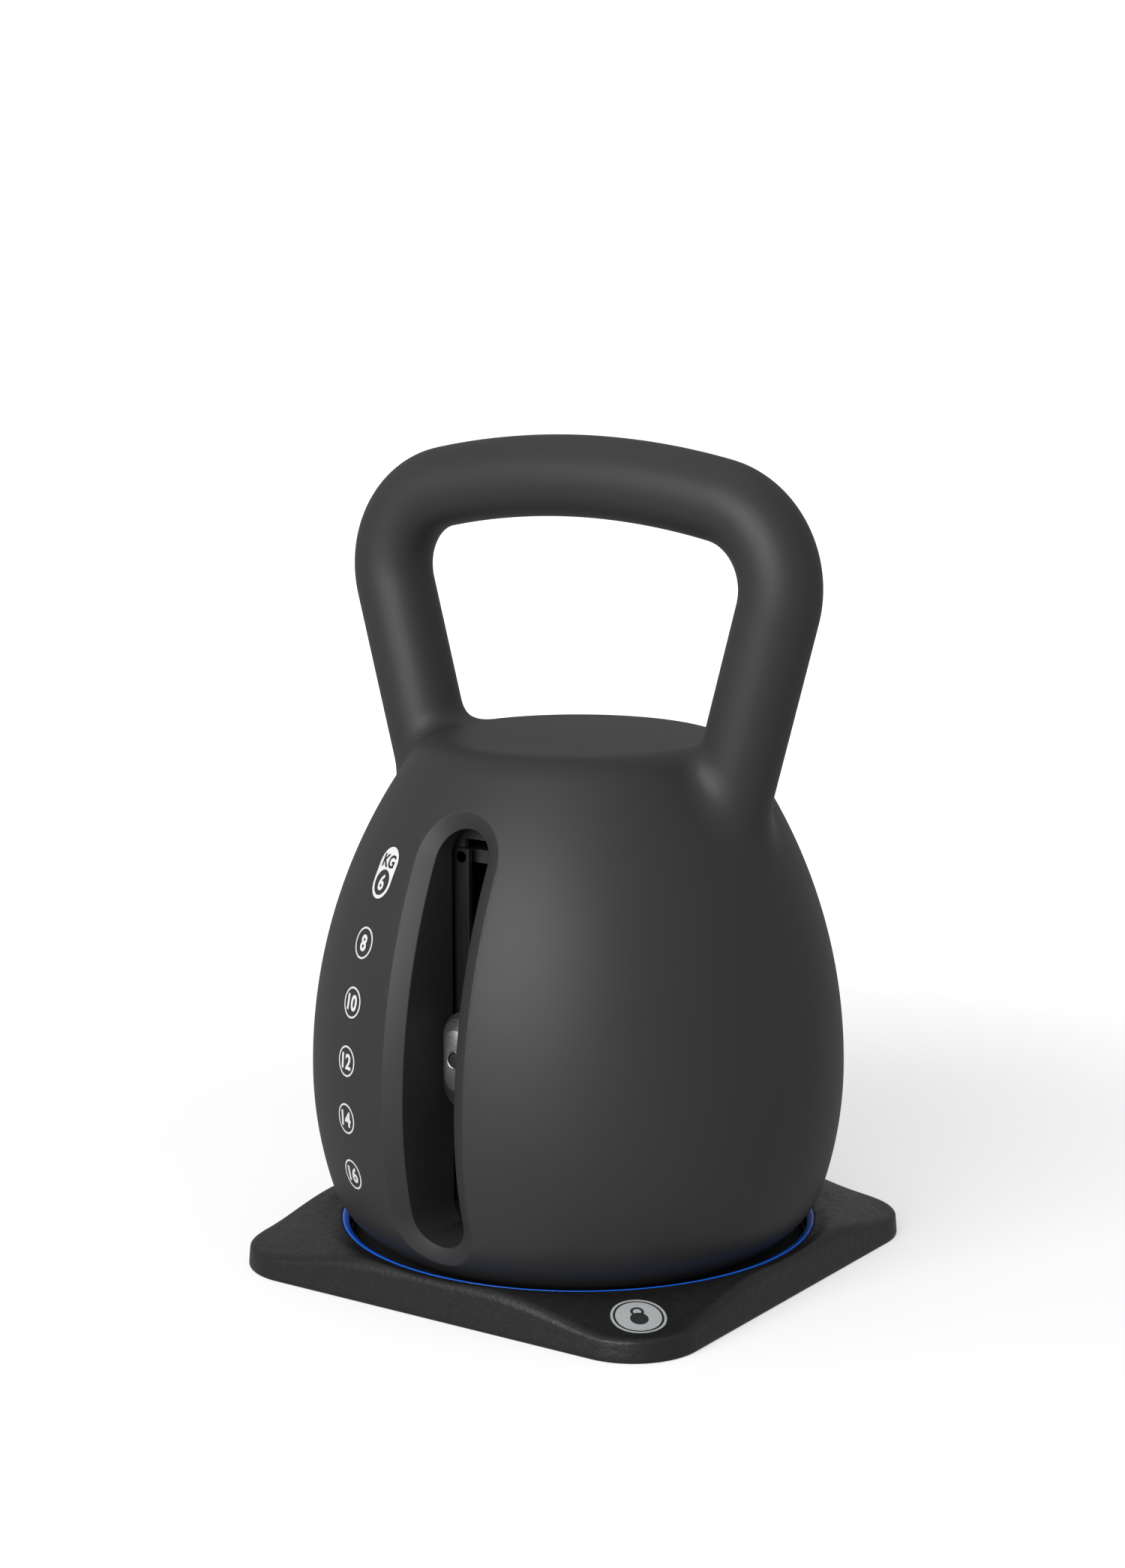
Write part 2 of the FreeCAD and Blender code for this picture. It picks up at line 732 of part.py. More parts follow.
def make_notch_strip():
    """Steel strip with a dimple for each setting, let into the slot's right wall."""
    strip = box("strip_blank", (strip_face, strip_face + size.strip_thickness), *strip_span())
    dimples = []
    for at in range(len(WEIGHTS) + 1):
        z = ball_height + size.plate_pitch * (len(WEIGHTS) - 2 - at)
        dimples.append(rod(f"dimple_{at}", size.dimple_radius, size.strip_thickness + 2 * PAST,
                           strip_face - PAST, -ball_forward, z, "X"))
    subpart("notch_strip", cut("strip_cut", strip, *dimples))


def make_damper():
    """Rubber pad under the frame that quietens the top plate."""
    low = stack_top + size.spigot_height + size.damper_gap
    subpart("stack_damper", rod("damper", size.damper_radius, frame_low - low, z=low))


def make_plate(at, weight):
    """Iron plate with a raised hub, a spigot on top and a socket underneath."""
    low = size.plate_base + size.plate_pitch * (len(WEIGHTS) - 1 - at)
    high = low + size.plate_thickness
    hub_top = low + size.plate_pitch
    edge = size.plate_edge
    fillet = size.hub_fillet
    loose = size.spigot_clearance
    socket = size.spigot_height + loose
    spigot_top = hub_top + size.spigot_height
    subpart(f"plate_{weight}kg", turned(f"plate_body_{weight}", [
        (0, low + socket, None),
        (size.spigot_radius + loose, low + socket, None),
        (size.spigot_radius + loose, low, None),
        (size.plate_radius - edge, low, None),
        (size.plate_radius, low + edge, None),
        (size.plate_radius, high - edge, None),
        (size.plate_radius - edge, high, None),
        (size.plate_hub + fillet, high, -fillet),
        (size.plate_hub, high + fillet, None),
        (size.plate_hub, hub_top, None),
        (size.spigot_radius, hub_top, None),
        (size.spigot_radius, spigot_top - size.spigot_edge, None),
        (size.spigot_radius - size.spigot_edge, spigot_top, None),
        (0, spigot_top, None),
    ]))


def on_tray_rim(edge):
    """Whether an edge lies where the tray's top meets its sides."""
    middle = edge.valueAt((edge.FirstParameter + edge.LastParameter) / 2)
    outside = Vector(middle.x, middle.y).Length > size.ring_outer.amount + 5
    high = edge.BoundBox.ZMin > size.recess_floor.amount
    return outside and high and edge.Curve.TypeId != "Part::GeomCircle"


def tray_outline():
    half = size.tray_side / 2
    corner = size.tray_corner
    near = half - corner
    return [
        (near, -half, corner), (half, -near, None),
        (half, near, corner), (near, half, None),
        (-near, half, corner), (-half, near, None),
        (-half, -near, corner), (-near, -half, None),
    ]


def make_tray():
    """Moulded tray: level beside the bell, drooping towards its four corners."""
    high = size.tray_height
    low = size.tray_corner_height
    crown = size.tray_crown_radius
    top = turned("tray_top", [
        (0, 0, None),
        (BEYOND + size.tray_corner, 0, None),
        (BEYOND + size.tray_corner, low, None),
        (crown + size.tray_droop, low, None),
        (crown, high, None),
        (size.ring_outer + size.ring_bank, high, None),
        (size.ring_outer, size.ring_top, None),
        (0, size.ring_top, None),
    ])
    prism = padded("tray_prism", "XY_Plane", tray_outline(), 0, high + PAST)
    slab = softened("Fillet", "tray_edge", common("tray_slab", top, prism),
                    size.tray_edge_round, on_tray_rim)
    tools = [
        rod("tray_ring_seat", size.ring_outer, high, z=size.ring_top - size.ring_depth),
        rod("tray_well", size.ring_outer - size.ring_width, high, z=size.recess_floor),
        badge_disc("badge_seat", size.badge_radius + size.badge_clearance, high),
    ]
    for at, (x, y) in enumerate(foot_places()):
        tools.append(rod(f"foot_seat_{at}", size.foot_radius, size.foot_height, x, y, 0))
    for at, (x, y) in enumerate(pedestal_screw_places()):
        tools.append(rod(f"tray_tap_{at}", size.pedestal_screw + size.bolt_clearance,
                         size.recess_floor, x, y, size.recess_floor / 2))
    subpart("tray_base", cut("tray_cut", slab, *tools))


def on_tray_rim(edge):
    """Whether an edge lies where the tray's top meets its sides."""
    middle = edge.valueAt((edge.FirstParameter + edge.LastParameter) / 2)
    outside = Vector(middle.x, middle.y).Length > size.ring_outer.amount + 5
    high = edge.BoundBox.ZMin > size.recess_floor.amount
    return outside and high and edge.Curve.TypeId != "Part::GeomCircle"


def tray_outline():
    half = size.tray_side / 2
    corner = size.tray_corner
    near = half - corner
    return [
        (near, -half, corner), (half, -near, None),
        (half, near, corner), (near, half, None),
        (-near, half, corner), (-half, near, None),
        (-half, -near, corner), (-near, -half, None),
    ]


def make_tray():
    """Moulded tray: level beside the bell, drooping towards its four corners."""
    high = size.tray_height
    low = size.tray_corner_height
    crown = size.tray_crown_radius
    top = turned("tray_top", [
        (0, 0, None),
        (190, 0, None),
        (190, low - 0.6, None),
        (crown + size.tray_droop, low, None),
        (crown, high, None),
        (size.ring_outer + 2.5, high, None),
        (size.ring_outer, size.ring_top, None),
        (0, size.ring_top, None),
    ])
    prism = padded("tray_prism", "XY_Plane", tray_outline(), 0, size.tray_height + 5)
    slab = softened("Fillet", "tray_edge", common("tray_slab", top, prism),
                    size.tray_edge_round, on_tray_rim)
    ring_seat = rod("tray_ring_seat", size.ring_outer, 20, z=size.ring_top - size.ring_depth)
    well = rod("tray_well", size.ring_outer - size.ring_width, 30, z=size.recess_floor)
    tools = [ring_seat, well]
    for at, (x, y) in enumerate(foot_places()):
        tools.append(rod(f"foot_seat_{at}", size.foot_radius, size.foot_height, x, y, 0))
    for at, (x, y) in enumerate(pedestal_screw_places()):
        tools.append(rod(f"tray_tap_{at}", 1.8, size.recess_floor, x, y, 3))
    tools.append(badge_disc("badge_seat", size.badge_radius + 0.2, 6))
    blank = cut("tray_cut", slab, *tools)
    subpart("tray_base", blank)


def foot_places():
    at = size.tray_side / 2 - size.foot_inset
    return [(at * i, at * j) for i in (-1, 1) for j in (-1, 1)]


def pedestal_screw_places():
    at = (size.pedestal_radius + size.pedestal_flange / 2) * DIAGONAL
    return [(at * i, at * j) for i in (-1, 1) for j in (-1, 1)]


def make_tray_fittings():
    floor = size.recess_floor
    top = size.ring_top
    outer = size.ring_outer
    inner = outer - size.ring_width
    pad_rim = inner - 2
    pad_hole = size.pedestal_radius + size.pedestal_flange + 2
    subpart("accent_ring", turned("ring_body", [
        (inner, top - size.ring_depth, None),
        (outer, top - size.ring_depth, None),
        (outer, top, None),
        (outer - size.ring_chamfer, top, None),
        (inner, top - size.ring_fall, None),
    ]))
    subpart("seat_pad", cut("seat_cut", rod("seat_disc", pad_rim, size.pad_thickness, z=floor),
                            rod("seat_hole", pad_hole, size.pad_thickness + 2 * PAST,
                                z=floor - PAST)))
    feet = [rod(f"foot_{at}", size.foot_radius, size.foot_height, x, y, 0)
            for at, (x, y) in enumerate(foot_places())]
    subpart("tray_feet", group("tray_feet", feet))
    subpart("tray_badge", badge_disc("badge", size.badge_radius, size.badge_thickness))


def badge_disc(name, radius, thickness):
    """A disc lying on the sloping front right corner of the tray."""
    disc = rod(name, radius, thickness, badge_at, -badge_at, badge_level - size.badge_sunk)
    fall = droop_slope.amount
    disc.Placement.Rotation = Rotation(Vector(0, 0, 1), Vector(fall, -fall, 2 ** 0.5))
    return disc


def make_pedestal():
    """Hollow post on the tray that centres the bell and carries the lowest plate."""
    floor = size.recess_floor
    top = size.plate_base
    radius = size.pedestal_radius
    wall = size.pedestal_wall
    shoulder = size.pedestal_shoulder
    inside = radius - wall
    slope = shoulder - wall / 2
    flange_top = floor + size.pedestal_flange_height
    shape = turned("pedestal_body", [
        (inside, floor, None),
        (radius + size.pedestal_flange, floor, None),
        (radius + size.pedestal_flange, flange_top, None),
        (radius, flange_top, None),
        (radius, top - shoulder, shoulder),
        (radius - shoulder, top, None),
        (size.spigot_radius, top, None),
        (size.spigot_radius, top + size.spigot_height, None),
        (0, top + size.spigot_height, None),
        (0, top - wall, None),
        (inside - slope, top - wall, None),
        (inside, top - wall - slope, None),
    ])
    holes = []
    screws = []
    sunk = size.pedestal_screw_length - size.pedestal_flange_height
    for at, (x, y) in enumerate(pedestal_screw_places()):
        holes.append(rod(f"pedestal_hole_{at}", size.pedestal_screw + size.bolt_clearance,
                         size.pedestal_flange_height + 2 * PAST, x, y, floor - PAST))
        shank = rod(f"pedestal_shank_{at}", size.pedestal_screw, size.pedestal_screw_length,
                    x, y, floor - sunk)
        head = rod(f"pedestal_head_{at}", size.pedestal_screw_head,
                   size.pedestal_screw_head_height, x, y, flange_top)
        screws.append(fuse(f"pedestal_screw_{at}", shank, head))
    subpart("plate_pedestal", cut("pedestal_cut", shape, *holes))
    subpart("pedestal_screws", group("pedestal_screws", screws))


def make_carriage():
    """Block that slides in the slot on the rails, with a keeper behind them."""
    half = block_half
    gap = size.slide_gap
    back = -size.block_back
    front = -knob_back
    low = size.knob_height - size.block_drop
    high = size.knob_height + size.block_rise
    keeper_back = -(size.channel_back - size.channel_wall) - gap
    web_heights = (tongue_height + 6, size.knob_height + 12)
    block = slot_prism("block", half, low, high, knob_back, size.block_back)
    web = box("web", (-size.rail_inner + gap, size.rail_inner - gap), (back, keeper_back),
              web_heights)
    keeper_half = size.slit_half - 1.5 * gap
    keeper = box("keeper", (-keeper_half, keeper_half), (-size.channel_back + gap, keeper_back),
                 web_heights)
    blank = fuse("carriage_blank", block, web, keeper)
    lever_room = size.lever_half_thickness + gap
    tongue_room = size.tongue_half_width + gap
    tools = [
        box("lever_slot", (-lever_room, lever_room), (front + PAST, keeper_back - PAST),
            (tongue_height - 4, size.knob_height + 4)),
        box("tongue_slot", (-tongue_room, tongue_room), (front - PAST, back + PAST),
            (tongue_height - tongue_half_height - gap, tongue_height + tongue_half_height + gap)),
        rod("button_well", button_bore, size.coil_seat + PAST, 0, front - PAST,
            size.knob_height, "Y"),
        rod("stem_way", size.stem_radius + size.stem_clearance, size.knob_depth + 2, 0, front,
            size.knob_height, "Y"),
        rod("pin_way", size.pin_radius + size.pin_clearance, 2 * half, -half,
            -size.pivot_forward, pivot_height, "X"),
        rod("ball_way", size.ball_radius + size.ball_clearance, size.ball_way_depth,
            half + PAST - size.ball_way_depth, -ball_forward, ball_height, "X"),
    ]
    for side in (-1, 1):
        x = screw_side * side
        way = size.knob_screw + size.bolt_clearance
        seat = size.knob_screw_head + size.bolt_clearance
        tools.append(rod(f"knob_screw_way_{side}", way, knob_back - size.block_back, x,
                         front - PAST, screw_height, "Y"))
        tools.append(rod(f"knob_screw_seat_{side}", seat, 3, x, back - 2, screw_height, "Y"))
    subpart("selector_carriage", cut("carriage_cut", blank, *tools))


def make_knob():
    """Metal grip plate with round ends, bored for the release button."""
    front = -size.knob_face
    low = size.knob_height - size.knob_half_height
    high = size.knob_height + size.knob_half_height
    blank = slot_prism("knob_blank", size.knob_half_width, low, high, size.knob_face, knob_back)
    rounded = softened("Fillet", "knob_soft", blank, size.knob_round,
                       lambda edge: abs(edge.BoundBox.YMax - front.amount) < 0.1)
    tools = [
        rod("bezel_seat", bezel_radius, size.bezel_thickness + size.bezel_proud, 0,
            front - size.bezel_proud, size.knob_height, "Y"),
        rod("knob_well", button_bore, size.knob_depth + 2 * PAST, 0, front - PAST,
            size.knob_height, "Y"),
    ]
    deep = size.knob_tap_depth
    screw_tip = -knob_back - deep + 0.5
    screw_seat = -size.block_back - 2
    screws = []
    for side in (-1, 1):
        x = screw_side * side
        tools.append(rod(f"knob_tap_{side}", size.knob_screw + size.screw_clearance, deep + PAST, x,
                         -knob_back - deep, screw_height, "Y"))
        shank = rod(f"knob_shank_{side}", size.knob_screw, screw_seat - screw_tip, x, screw_tip,
                    screw_height, "Y")
        head = rod(f"knob_head_{side}", size.knob_screw_head, size.knob_screw_head_height, x,
                   screw_seat, screw_height, "Y")
        screws.append(fuse(f"knob_screw_{side}", shank, head))
    subpart("selector_knob", cut("knob_cut", rounded, *tools))
    subpart("knob_screws", group("knob_screws", screws))
    subpart("button_bezel", tube("bezel", bezel_radius, button_bore, size.bezel_thickness,
                                 0, front - size.bezel_proud, size.knob_height, "Y"))


def tube(name, outside, inside, long, x, y, z, along):
    """A plain tube, bored right through."""
    start = {"X": (x - PAST, y, z), "Y": (x, y - PAST, z)}[along]
    return cut(f"{name}_ring", rod(f"{name}_outside", outside, long, x, y, z, along),
               rod(f"{name}_inside", inside, long + 2 * PAST, *start, along))


def make_button():
    """Release button and its stem, and the spring round the stem."""
    face = -size.knob_face + size.button_sunk
    stem_end = -(size.pivot_forward - lever_top_lean) - size.lever_half_width - 1.2
    cap = rod("button_cap", size.button_radius, -cap_back - face, 0, face, size.knob_height, "Y")
    stem = rod("button_stem", size.stem_radius, stem_end - face, 0, face, size.knob_height, "Y")
    subpart("release_button", fuse("button_blank", cap, stem))
    low = -cap_back + 0.2
    high = -knob_back + size.coil_seat
    subpart("button_spring", tube("spring", size.button_radius - size.button_coil_inset,
                                  size.button_coil_bore, high - low, 0, low, size.knob_height,
                                  "Y"))


def make_lever():
    """Rocker that turns the button's push into the tongue's stroke, and its pin."""
    thick = size.lever_half_thickness
    upper = size.pivot_drop
    lower = size.tongue_drop - size.pivot_drop
    half = size.lever_half_width
    bar = box("lever_bar", (-thick, thick), (-half, half), (-lower, upper))
    ends = [rod(f"lever_end_{name}", half, thick * 2, -thick, 0, z, "X")
            for name, z in (("top", upper), ("foot", -lower))]
    eye = rod("lever_eye", size.pin_radius + size.pin_clearance, thick * 2 + 2 * PAST,
              -thick - PAST, 0, 0, "X")
    blank = cut("lever_bored", fuse("lever_blank", bar, *ends), eye)
    blank.Placement = Placement(Vector(), Rotation(Vector(1, 0, 0), -LEVER_LEAN))
    place(blank, 0, -size.pivot_forward, pivot_height)
    subpart("rocker_lever", blank)
    start = -block_half + 0.2
    subpart("lever_pin", rod("pin", size.pin_radius, -2 * start, start, -size.pivot_forward,
                             pivot_height, "X"))


def make_tongue():
    """Steel tongue that slides in under a plate."""
    half = size.tongue_half_width
    lever_foot = -(size.pivot_forward + lever_foot_lean)
    room = size.lever_half_width + 1.2
    heights = (tongue_height - tongue_half_height, tongue_height + tongue_half_height)
    blank = box("tongue_blank", (-half, half), (lever_foot - room - 1, -size.tongue_tip), heights)
    notch_half = size.lever_half_thickness + 0.4
    notch = box("tongue_notch", (-notch_half, notch_half), (lever_foot - room, lever_foot + room),
                (heights[0] - PAST, heights[1] + PAST))
    subpart("lock_tongue", cut("tongue_cut", blank, notch))


def make_detent():
    """Ball that clicks into the notch strip, and the spring behind it."""
    ball = document.addObject("Part::Sphere", "ball")
    bind(ball, "Radius", size.ball_radius)
    place(ball, ball_side, -ball_forward, ball_height)
    subpart("detent_ball", ball)
    low = ball_side - size.ball_radius - size.ball_clearance - size.detent_coil_length
    subpart("detent_spring", tube("detent", size.detent_coil, size.detent_coil_bore,
                                  size.detent_coil_length, low, -ball_forward, ball_height, "X"))


def write_parts():
    """Check every object, then write each sub-part to its own file."""
    document.recompute()
    for thing in document.Objects:
        if "Invalid" in thing.State or "Error" in thing.State:
            raise RuntimeError(f"{thing.Name} failed: {thing.State}")
    os.makedirs("parts", exist_ok=True)
    for thing in subparts:
        shape = thing.Shape
        if shape.isNull() or not shape.isValid() or not shape.Solids:
            raise RuntimeError(f"{thing.Label} has no valid solid")
        shape.exportStep(f"parts/{thing.Label}.step")
        print(thing.Label, len(shape.Solids), round(shape.Volume / 1000, 2), "cm3")


subpart("outer_shell", make_shell())
make_handle_rod()
make_top_frame()
make_sleeve()
make_ballast()
make_channel()
make_rails()
make_notch_strip()
make_damper()
for number, kilograms in enumerate(WEIGHTS):
    make_plate(number, kilograms)
make_tray()
make_tray_fittings()
make_pedestal()
make_carriage()
make_knob()
make_button()
make_lever()
make_tongue()
make_detent()
write_parts()
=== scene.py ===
# %% [markdown]
# # An adjustable kettlebell on its docking tray
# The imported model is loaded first, as a fixed frame. Each step below dresses one piece of it: the
# hollow bell with its grip, the tray, the blue ring, the weight marks, the selector, and then the
# finishes.

import bmesh
import bpy
import json
import math
import numpy as np
from mathutils import Matrix, Vector


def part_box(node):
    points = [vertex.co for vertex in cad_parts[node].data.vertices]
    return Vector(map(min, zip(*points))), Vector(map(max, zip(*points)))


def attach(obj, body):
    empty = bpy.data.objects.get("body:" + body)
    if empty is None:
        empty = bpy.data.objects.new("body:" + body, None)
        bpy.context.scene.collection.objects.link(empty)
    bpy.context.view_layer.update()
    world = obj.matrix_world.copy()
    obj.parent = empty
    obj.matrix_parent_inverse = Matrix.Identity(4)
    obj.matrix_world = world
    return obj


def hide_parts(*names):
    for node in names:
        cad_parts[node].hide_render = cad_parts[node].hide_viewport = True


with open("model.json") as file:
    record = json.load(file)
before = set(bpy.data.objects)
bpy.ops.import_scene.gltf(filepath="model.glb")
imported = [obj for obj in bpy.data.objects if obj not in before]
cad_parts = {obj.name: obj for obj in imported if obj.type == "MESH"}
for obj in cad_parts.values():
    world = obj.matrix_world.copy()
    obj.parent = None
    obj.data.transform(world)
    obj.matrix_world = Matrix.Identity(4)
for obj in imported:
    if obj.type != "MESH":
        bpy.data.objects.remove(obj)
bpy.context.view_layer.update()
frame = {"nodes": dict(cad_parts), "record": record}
scene = bpy.context.scene

# %% [markdown]
# ## Sizes
# A piece is only as right as its sizes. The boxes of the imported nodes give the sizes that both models
# share, and the rest are named here once, in metres.

# %% Shared sizes
MM = 0.001
tray_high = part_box("tray_base")[1]
ring_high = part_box("accent_ring")[1]
shell_low, shell_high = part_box("outer_shell")
channel_low, channel_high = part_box("slot_channel")
knob_low, knob_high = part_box("selector_knob")
button_low, button_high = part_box("release_button")
block_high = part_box("selector_carriage")[1]

BELL_BOTTOM = shell_low[2]
BELL_RADIUS = shell_high[1]
WAIST = 91.0 * MM            # height of the widest part
LOWER_ARC = 181.0 * MM       # side profile below it
UPPER_ARC = 252.0 * MM       # side profile above it
BOTTOM_ROUND = 42.0 * MM
SHOULDER = 21.4 * MM
BELL_TOP = 246.5 * MM
BELL_WALL = 4.0 * MM
MOUTH_RADIUS = 72.0 * MM
print("bell", round(BELL_RADIUS * 2 / MM, 1), "mm wide, bottom at", round(BELL_BOTTOM / MM, 1), "mm")

# %% [markdown]
# ## Camera and light
# The view looks slightly down on one corner of the tray, from far enough away that the sides hardly
# converge. One large soft box stands in front of the slot, so the far side of the bell turns dark, and
# a weaker one hangs overhead. The room is white where the camera looks at it, and dimmer where it
# lights the part.

# %% Camera
VIEW_TURN = math.radians(34.0)
VIEW_YAW = math.radians(0.316)
VIEW_PITCH = math.radians(9.98)
VIEW_DISTANCE = 1.3446
VIEW_HEIGHT = 0.4598


def make_camera():
    camera = bpy.data.objects.new("camera", bpy.data.cameras.new("camera"))
    scene.collection.objects.link(camera)
    camera.data.sensor_fit = "VERTICAL"
    camera.data.sensor_height = 36.0
    camera.data.lens = 67.76
    camera.location = (VIEW_DISTANCE * math.sin(VIEW_TURN), -VIEW_DISTANCE * math.cos(VIEW_TURN), VIEW_HEIGHT)
    heading = VIEW_TURN + VIEW_YAW
    ahead = Vector((-math.sin(heading), math.cos(heading), 0)) * math.cos(VIEW_PITCH)
    ahead.z = -math.sin(VIEW_PITCH)
    camera.rotation_euler = ahead.to_track_quat("-Z", "Y").to_euler()
    scene.camera = camera
    return camera


camera = make_camera()
print("camera", round(camera.data.lens, 1), "mm lens")


# %% Lights and floor
ROOM_LIGHT = 0.34            # how brightly the white room lights the part


def soft_box(name, at, aim, size, power):
    light = bpy.data.objects.new(name, bpy.data.lights.new(name, "AREA"))
    light.data.shape = "RECTANGLE"
    light.data.size, light.data.size_y = size
    light.data.energy = power
    light.location = at
    light.rotation_euler = (Vector(aim) - Vector(at)).to_track_quat("-Z", "Y").to_euler()
    scene.collection.objects.link(light)
    return light


def make_room():
    world = bpy.data.worlds.new("pale_room")
    scene.world = world
    world.use_nodes = True
    tree = world.node_tree
    backdrop = tree.nodes["Background"]
    backdrop.inputs["Color"].default_value = (1.0, 1.0, 1.0, 1.0)
    rays = tree.nodes.new("ShaderNodeLightPath")
    strength = tree.nodes.new("ShaderNodeMapRange")
    strength.inputs["To Min"].default_value = ROOM_LIGHT
    strength.inputs["To Max"].default_value = 1.0
    tree.links.new(rays.outputs["Is Camera Ray"], strength.inputs["Value"])
    tree.links.new(strength.outputs[0], backdrop.inputs["Strength"])
    scene.view_settings.view_transform = "Standard"
    middle = (0.0, 0.0, 0.16)
    soft_box("key", (0.15, -2.0, 0.95), middle, (1.9, 1.5), 43.0)
    soft_box("top", (-0.2, 0.1, 2.0), middle, (1.5, 1.5), 2.0)


def make_floor():
    """A pale floor that glows a little, and neither lights the part nor shows in it."""
    mesh = bpy.data.meshes.new("floor")
    reach = 6.0
    mesh.from_pydata([(-reach, -reach, 0), (reach, -reach, 0), (reach, reach, 0), (-reach, reach, 0)], [],
                     [(0, 1, 2, 3)])
    floor = bpy.data.objects.new("floor", mesh)
    floor.visible_diffuse = False
    floor.visible_glossy = False
    scene.collection.objects.link(floor)
    return floor


make_room()
floor = make_floor()


# %% [markdown]
# ## Small helpers
# A mesh can be written as rows of points joined by a skin of faces. A body of revolution, a swept bar
# and a slot's cutter are all such grids, so one helper joins the rows.

# %% Mesh helpers
SAME_PLACE = 1e-7            # points closer than this are one


def new_piece(name, points, faces):
    mesh = bpy.data.meshes.new(name)
    mesh.from_pydata([tuple(p) for p in points], [], faces)
    mesh.validate()
    piece = bpy.data.objects.new(name, mesh)
    scene.collection.objects.link(piece)
    return piece


def skin(rows, closed=True):
    """Faces between rows of equal length; each row closes on itself when closed."""
    count = len(rows[0])
    points = [p for row in rows for p in row]
    faces = []
    for r in range(len(rows) - 1):
        for c in range(count if closed else count - 1):
            after = (c + 1) % count
            faces.append((r * count + c, r * count + after, (r + 1) * count + after, (r + 1) * count + c))
    return points, faces


def capped(rows):
    """Closed tube: the rows' skin with an end face on the first and last row."""
    points, faces = skin(rows)
    count = len(rows[0])
    faces.append(tuple(reversed(range(count))))
    faces.append(tuple(range(len(points) - count, len(points))))
    return points, faces


def revolve(name, profile, steps=192):
    """Turn a (radius, height) profile about Z; a point on the axis becomes a pole."""
    tool = bmesh.new()
    rings = []
    for radius, height in profile:
        if radius < SAME_PLACE:
            rings.append([tool.verts.new((0, 0, height))])
            continue
        angles = [2 * math.pi * s / steps for s in range(steps)]
        rings.append([tool.verts.new((radius * math.cos(a), radius * math.sin(a), height)) for a in angles])
    for low, high in zip(rings, rings[1:]):
        for s in range(steps):
            after = s + 1
            corners = [low[s % len(low)], low[after % len(low)], high[after % len(high)], high[s % len(high)]]
            unique = [v for i, v in enumerate(corners) if v not in corners[:i]]
            if len(unique) > 2:
                tool.faces.new(unique)
    bmesh.ops.recalc_face_normals(tool, faces=tool.faces)
    mesh = bpy.data.meshes.new(name)
    tool.to_mesh(mesh)
    tool.free()
    piece = bpy.data.objects.new(name, mesh)
    scene.collection.objects.link(piece)
    return piece


def outward(piece):
    tool = bmesh.new()
    tool.from_mesh(piece.data)
    bmesh.ops.recalc_face_normals(tool, faces=tool.faces)
    tool.to_mesh(piece.data)
    tool.free()
    return piece


def welded(piece):
    """The piece with points that lie on one another joined, and its faces turned outwards."""
    tool = bmesh.new()
    tool.from_mesh(piece.data)
    bmesh.ops.remove_doubles(tool, verts=tool.verts, dist=SAME_PLACE)
    bmesh.ops.recalc_face_normals(tool, faces=tool.faces)
    tool.to_mesh(piece.data)
    tool.free()
    return piece


def baked(piece):
    """The piece with its modifiers turned into mesh."""
    scene.view_layers[0].update()
    seen = piece.evaluated_get(bpy.context.evaluated_depsgraph_get())
    mesh = bpy.data.meshes.new_from_object(seen)
    old = piece.data
    piece.modifiers.clear()
    piece.data = mesh
    if old.users == 0:
        bpy.data.meshes.remove(old)
    return piece


def carve(piece, tool, operation="DIFFERENCE"):
    """Apply an exact boolean and delete the tool."""
    step = piece.modifiers.new("carve", "BOOLEAN")
    step.operation = operation
    step.solver = "EXACT"
    step.object = tool
    baked(piece)
    bpy.data.objects.remove(tool)
    return piece


def smooth(piece, degrees=35.0):
    """Shade smooth, with edges sharper than the angle kept crisp."""
    piece.data.shade_smooth()
    piece.data.set_sharp_from_angle(angle=math.radians(degrees))
    return piece


print("helpers ready")

# %% [markdown]
# ## The bell and its grip
# Bell and grip are one moulding, with soft fillets where the legs run into the shoulder. A boolean
# union leaves hard creases there, so the surface is given by a formula instead: the distance to the
# turned bell, the distance to the bent bar, and a smooth minimum that rounds the corner between them. A
# rough union is remeshed evenly, and each of its points then slides onto the formula's surface.

# %% Where the bell's arcs meet
LOWER_X = BELL_RADIUS - LOWER_ARC
UPPER_X = BELL_RADIUS - UPPER_ARC
FOOT_DROP = WAIST - BELL_BOTTOM - BOTTOM_ROUND
FOOT_Z = WAIST - FOOT_DROP
FOOT_X = LOWER_X + math.sqrt((LOWER_ARC - BOTTOM_ROUND) ** 2 - FOOT_DROP ** 2)
TOP_RISE = BELL_TOP - SHOULDER - WAIST
TOP_Z = WAIST + TOP_RISE
TOP_X = UPPER_X + math.sqrt((UPPER_ARC - SHOULDER) ** 2 - TOP_RISE ** 2)
FOOT_ANGLE = math.atan2(FOOT_DROP, FOOT_X - LOWER_X)
TOP_ANGLE = math.atan2(TOP_RISE, TOP_X - UPPER_X)


def bell_radius_at(z):
    """Outside radius at a height."""
    z = np.asarray(z, dtype=float)
    upper = UPPER_X + np.sqrt(np.maximum(UPPER_ARC ** 2 - (z - WAIST) ** 2, 0))
    lower = LOWER_X + np.sqrt(np.maximum(LOWER_ARC ** 2 - (z - WAIST) ** 2, 0))
    foot = FOOT_X + np.sqrt(np.maximum(BOTTOM_ROUND ** 2 - (z - FOOT_Z) ** 2, 0))
    below = np.where(z < WAIST - LOWER_ARC * math.sin(FOOT_ANGLE), foot, lower)
    return np.where(z > WAIST, upper, below)


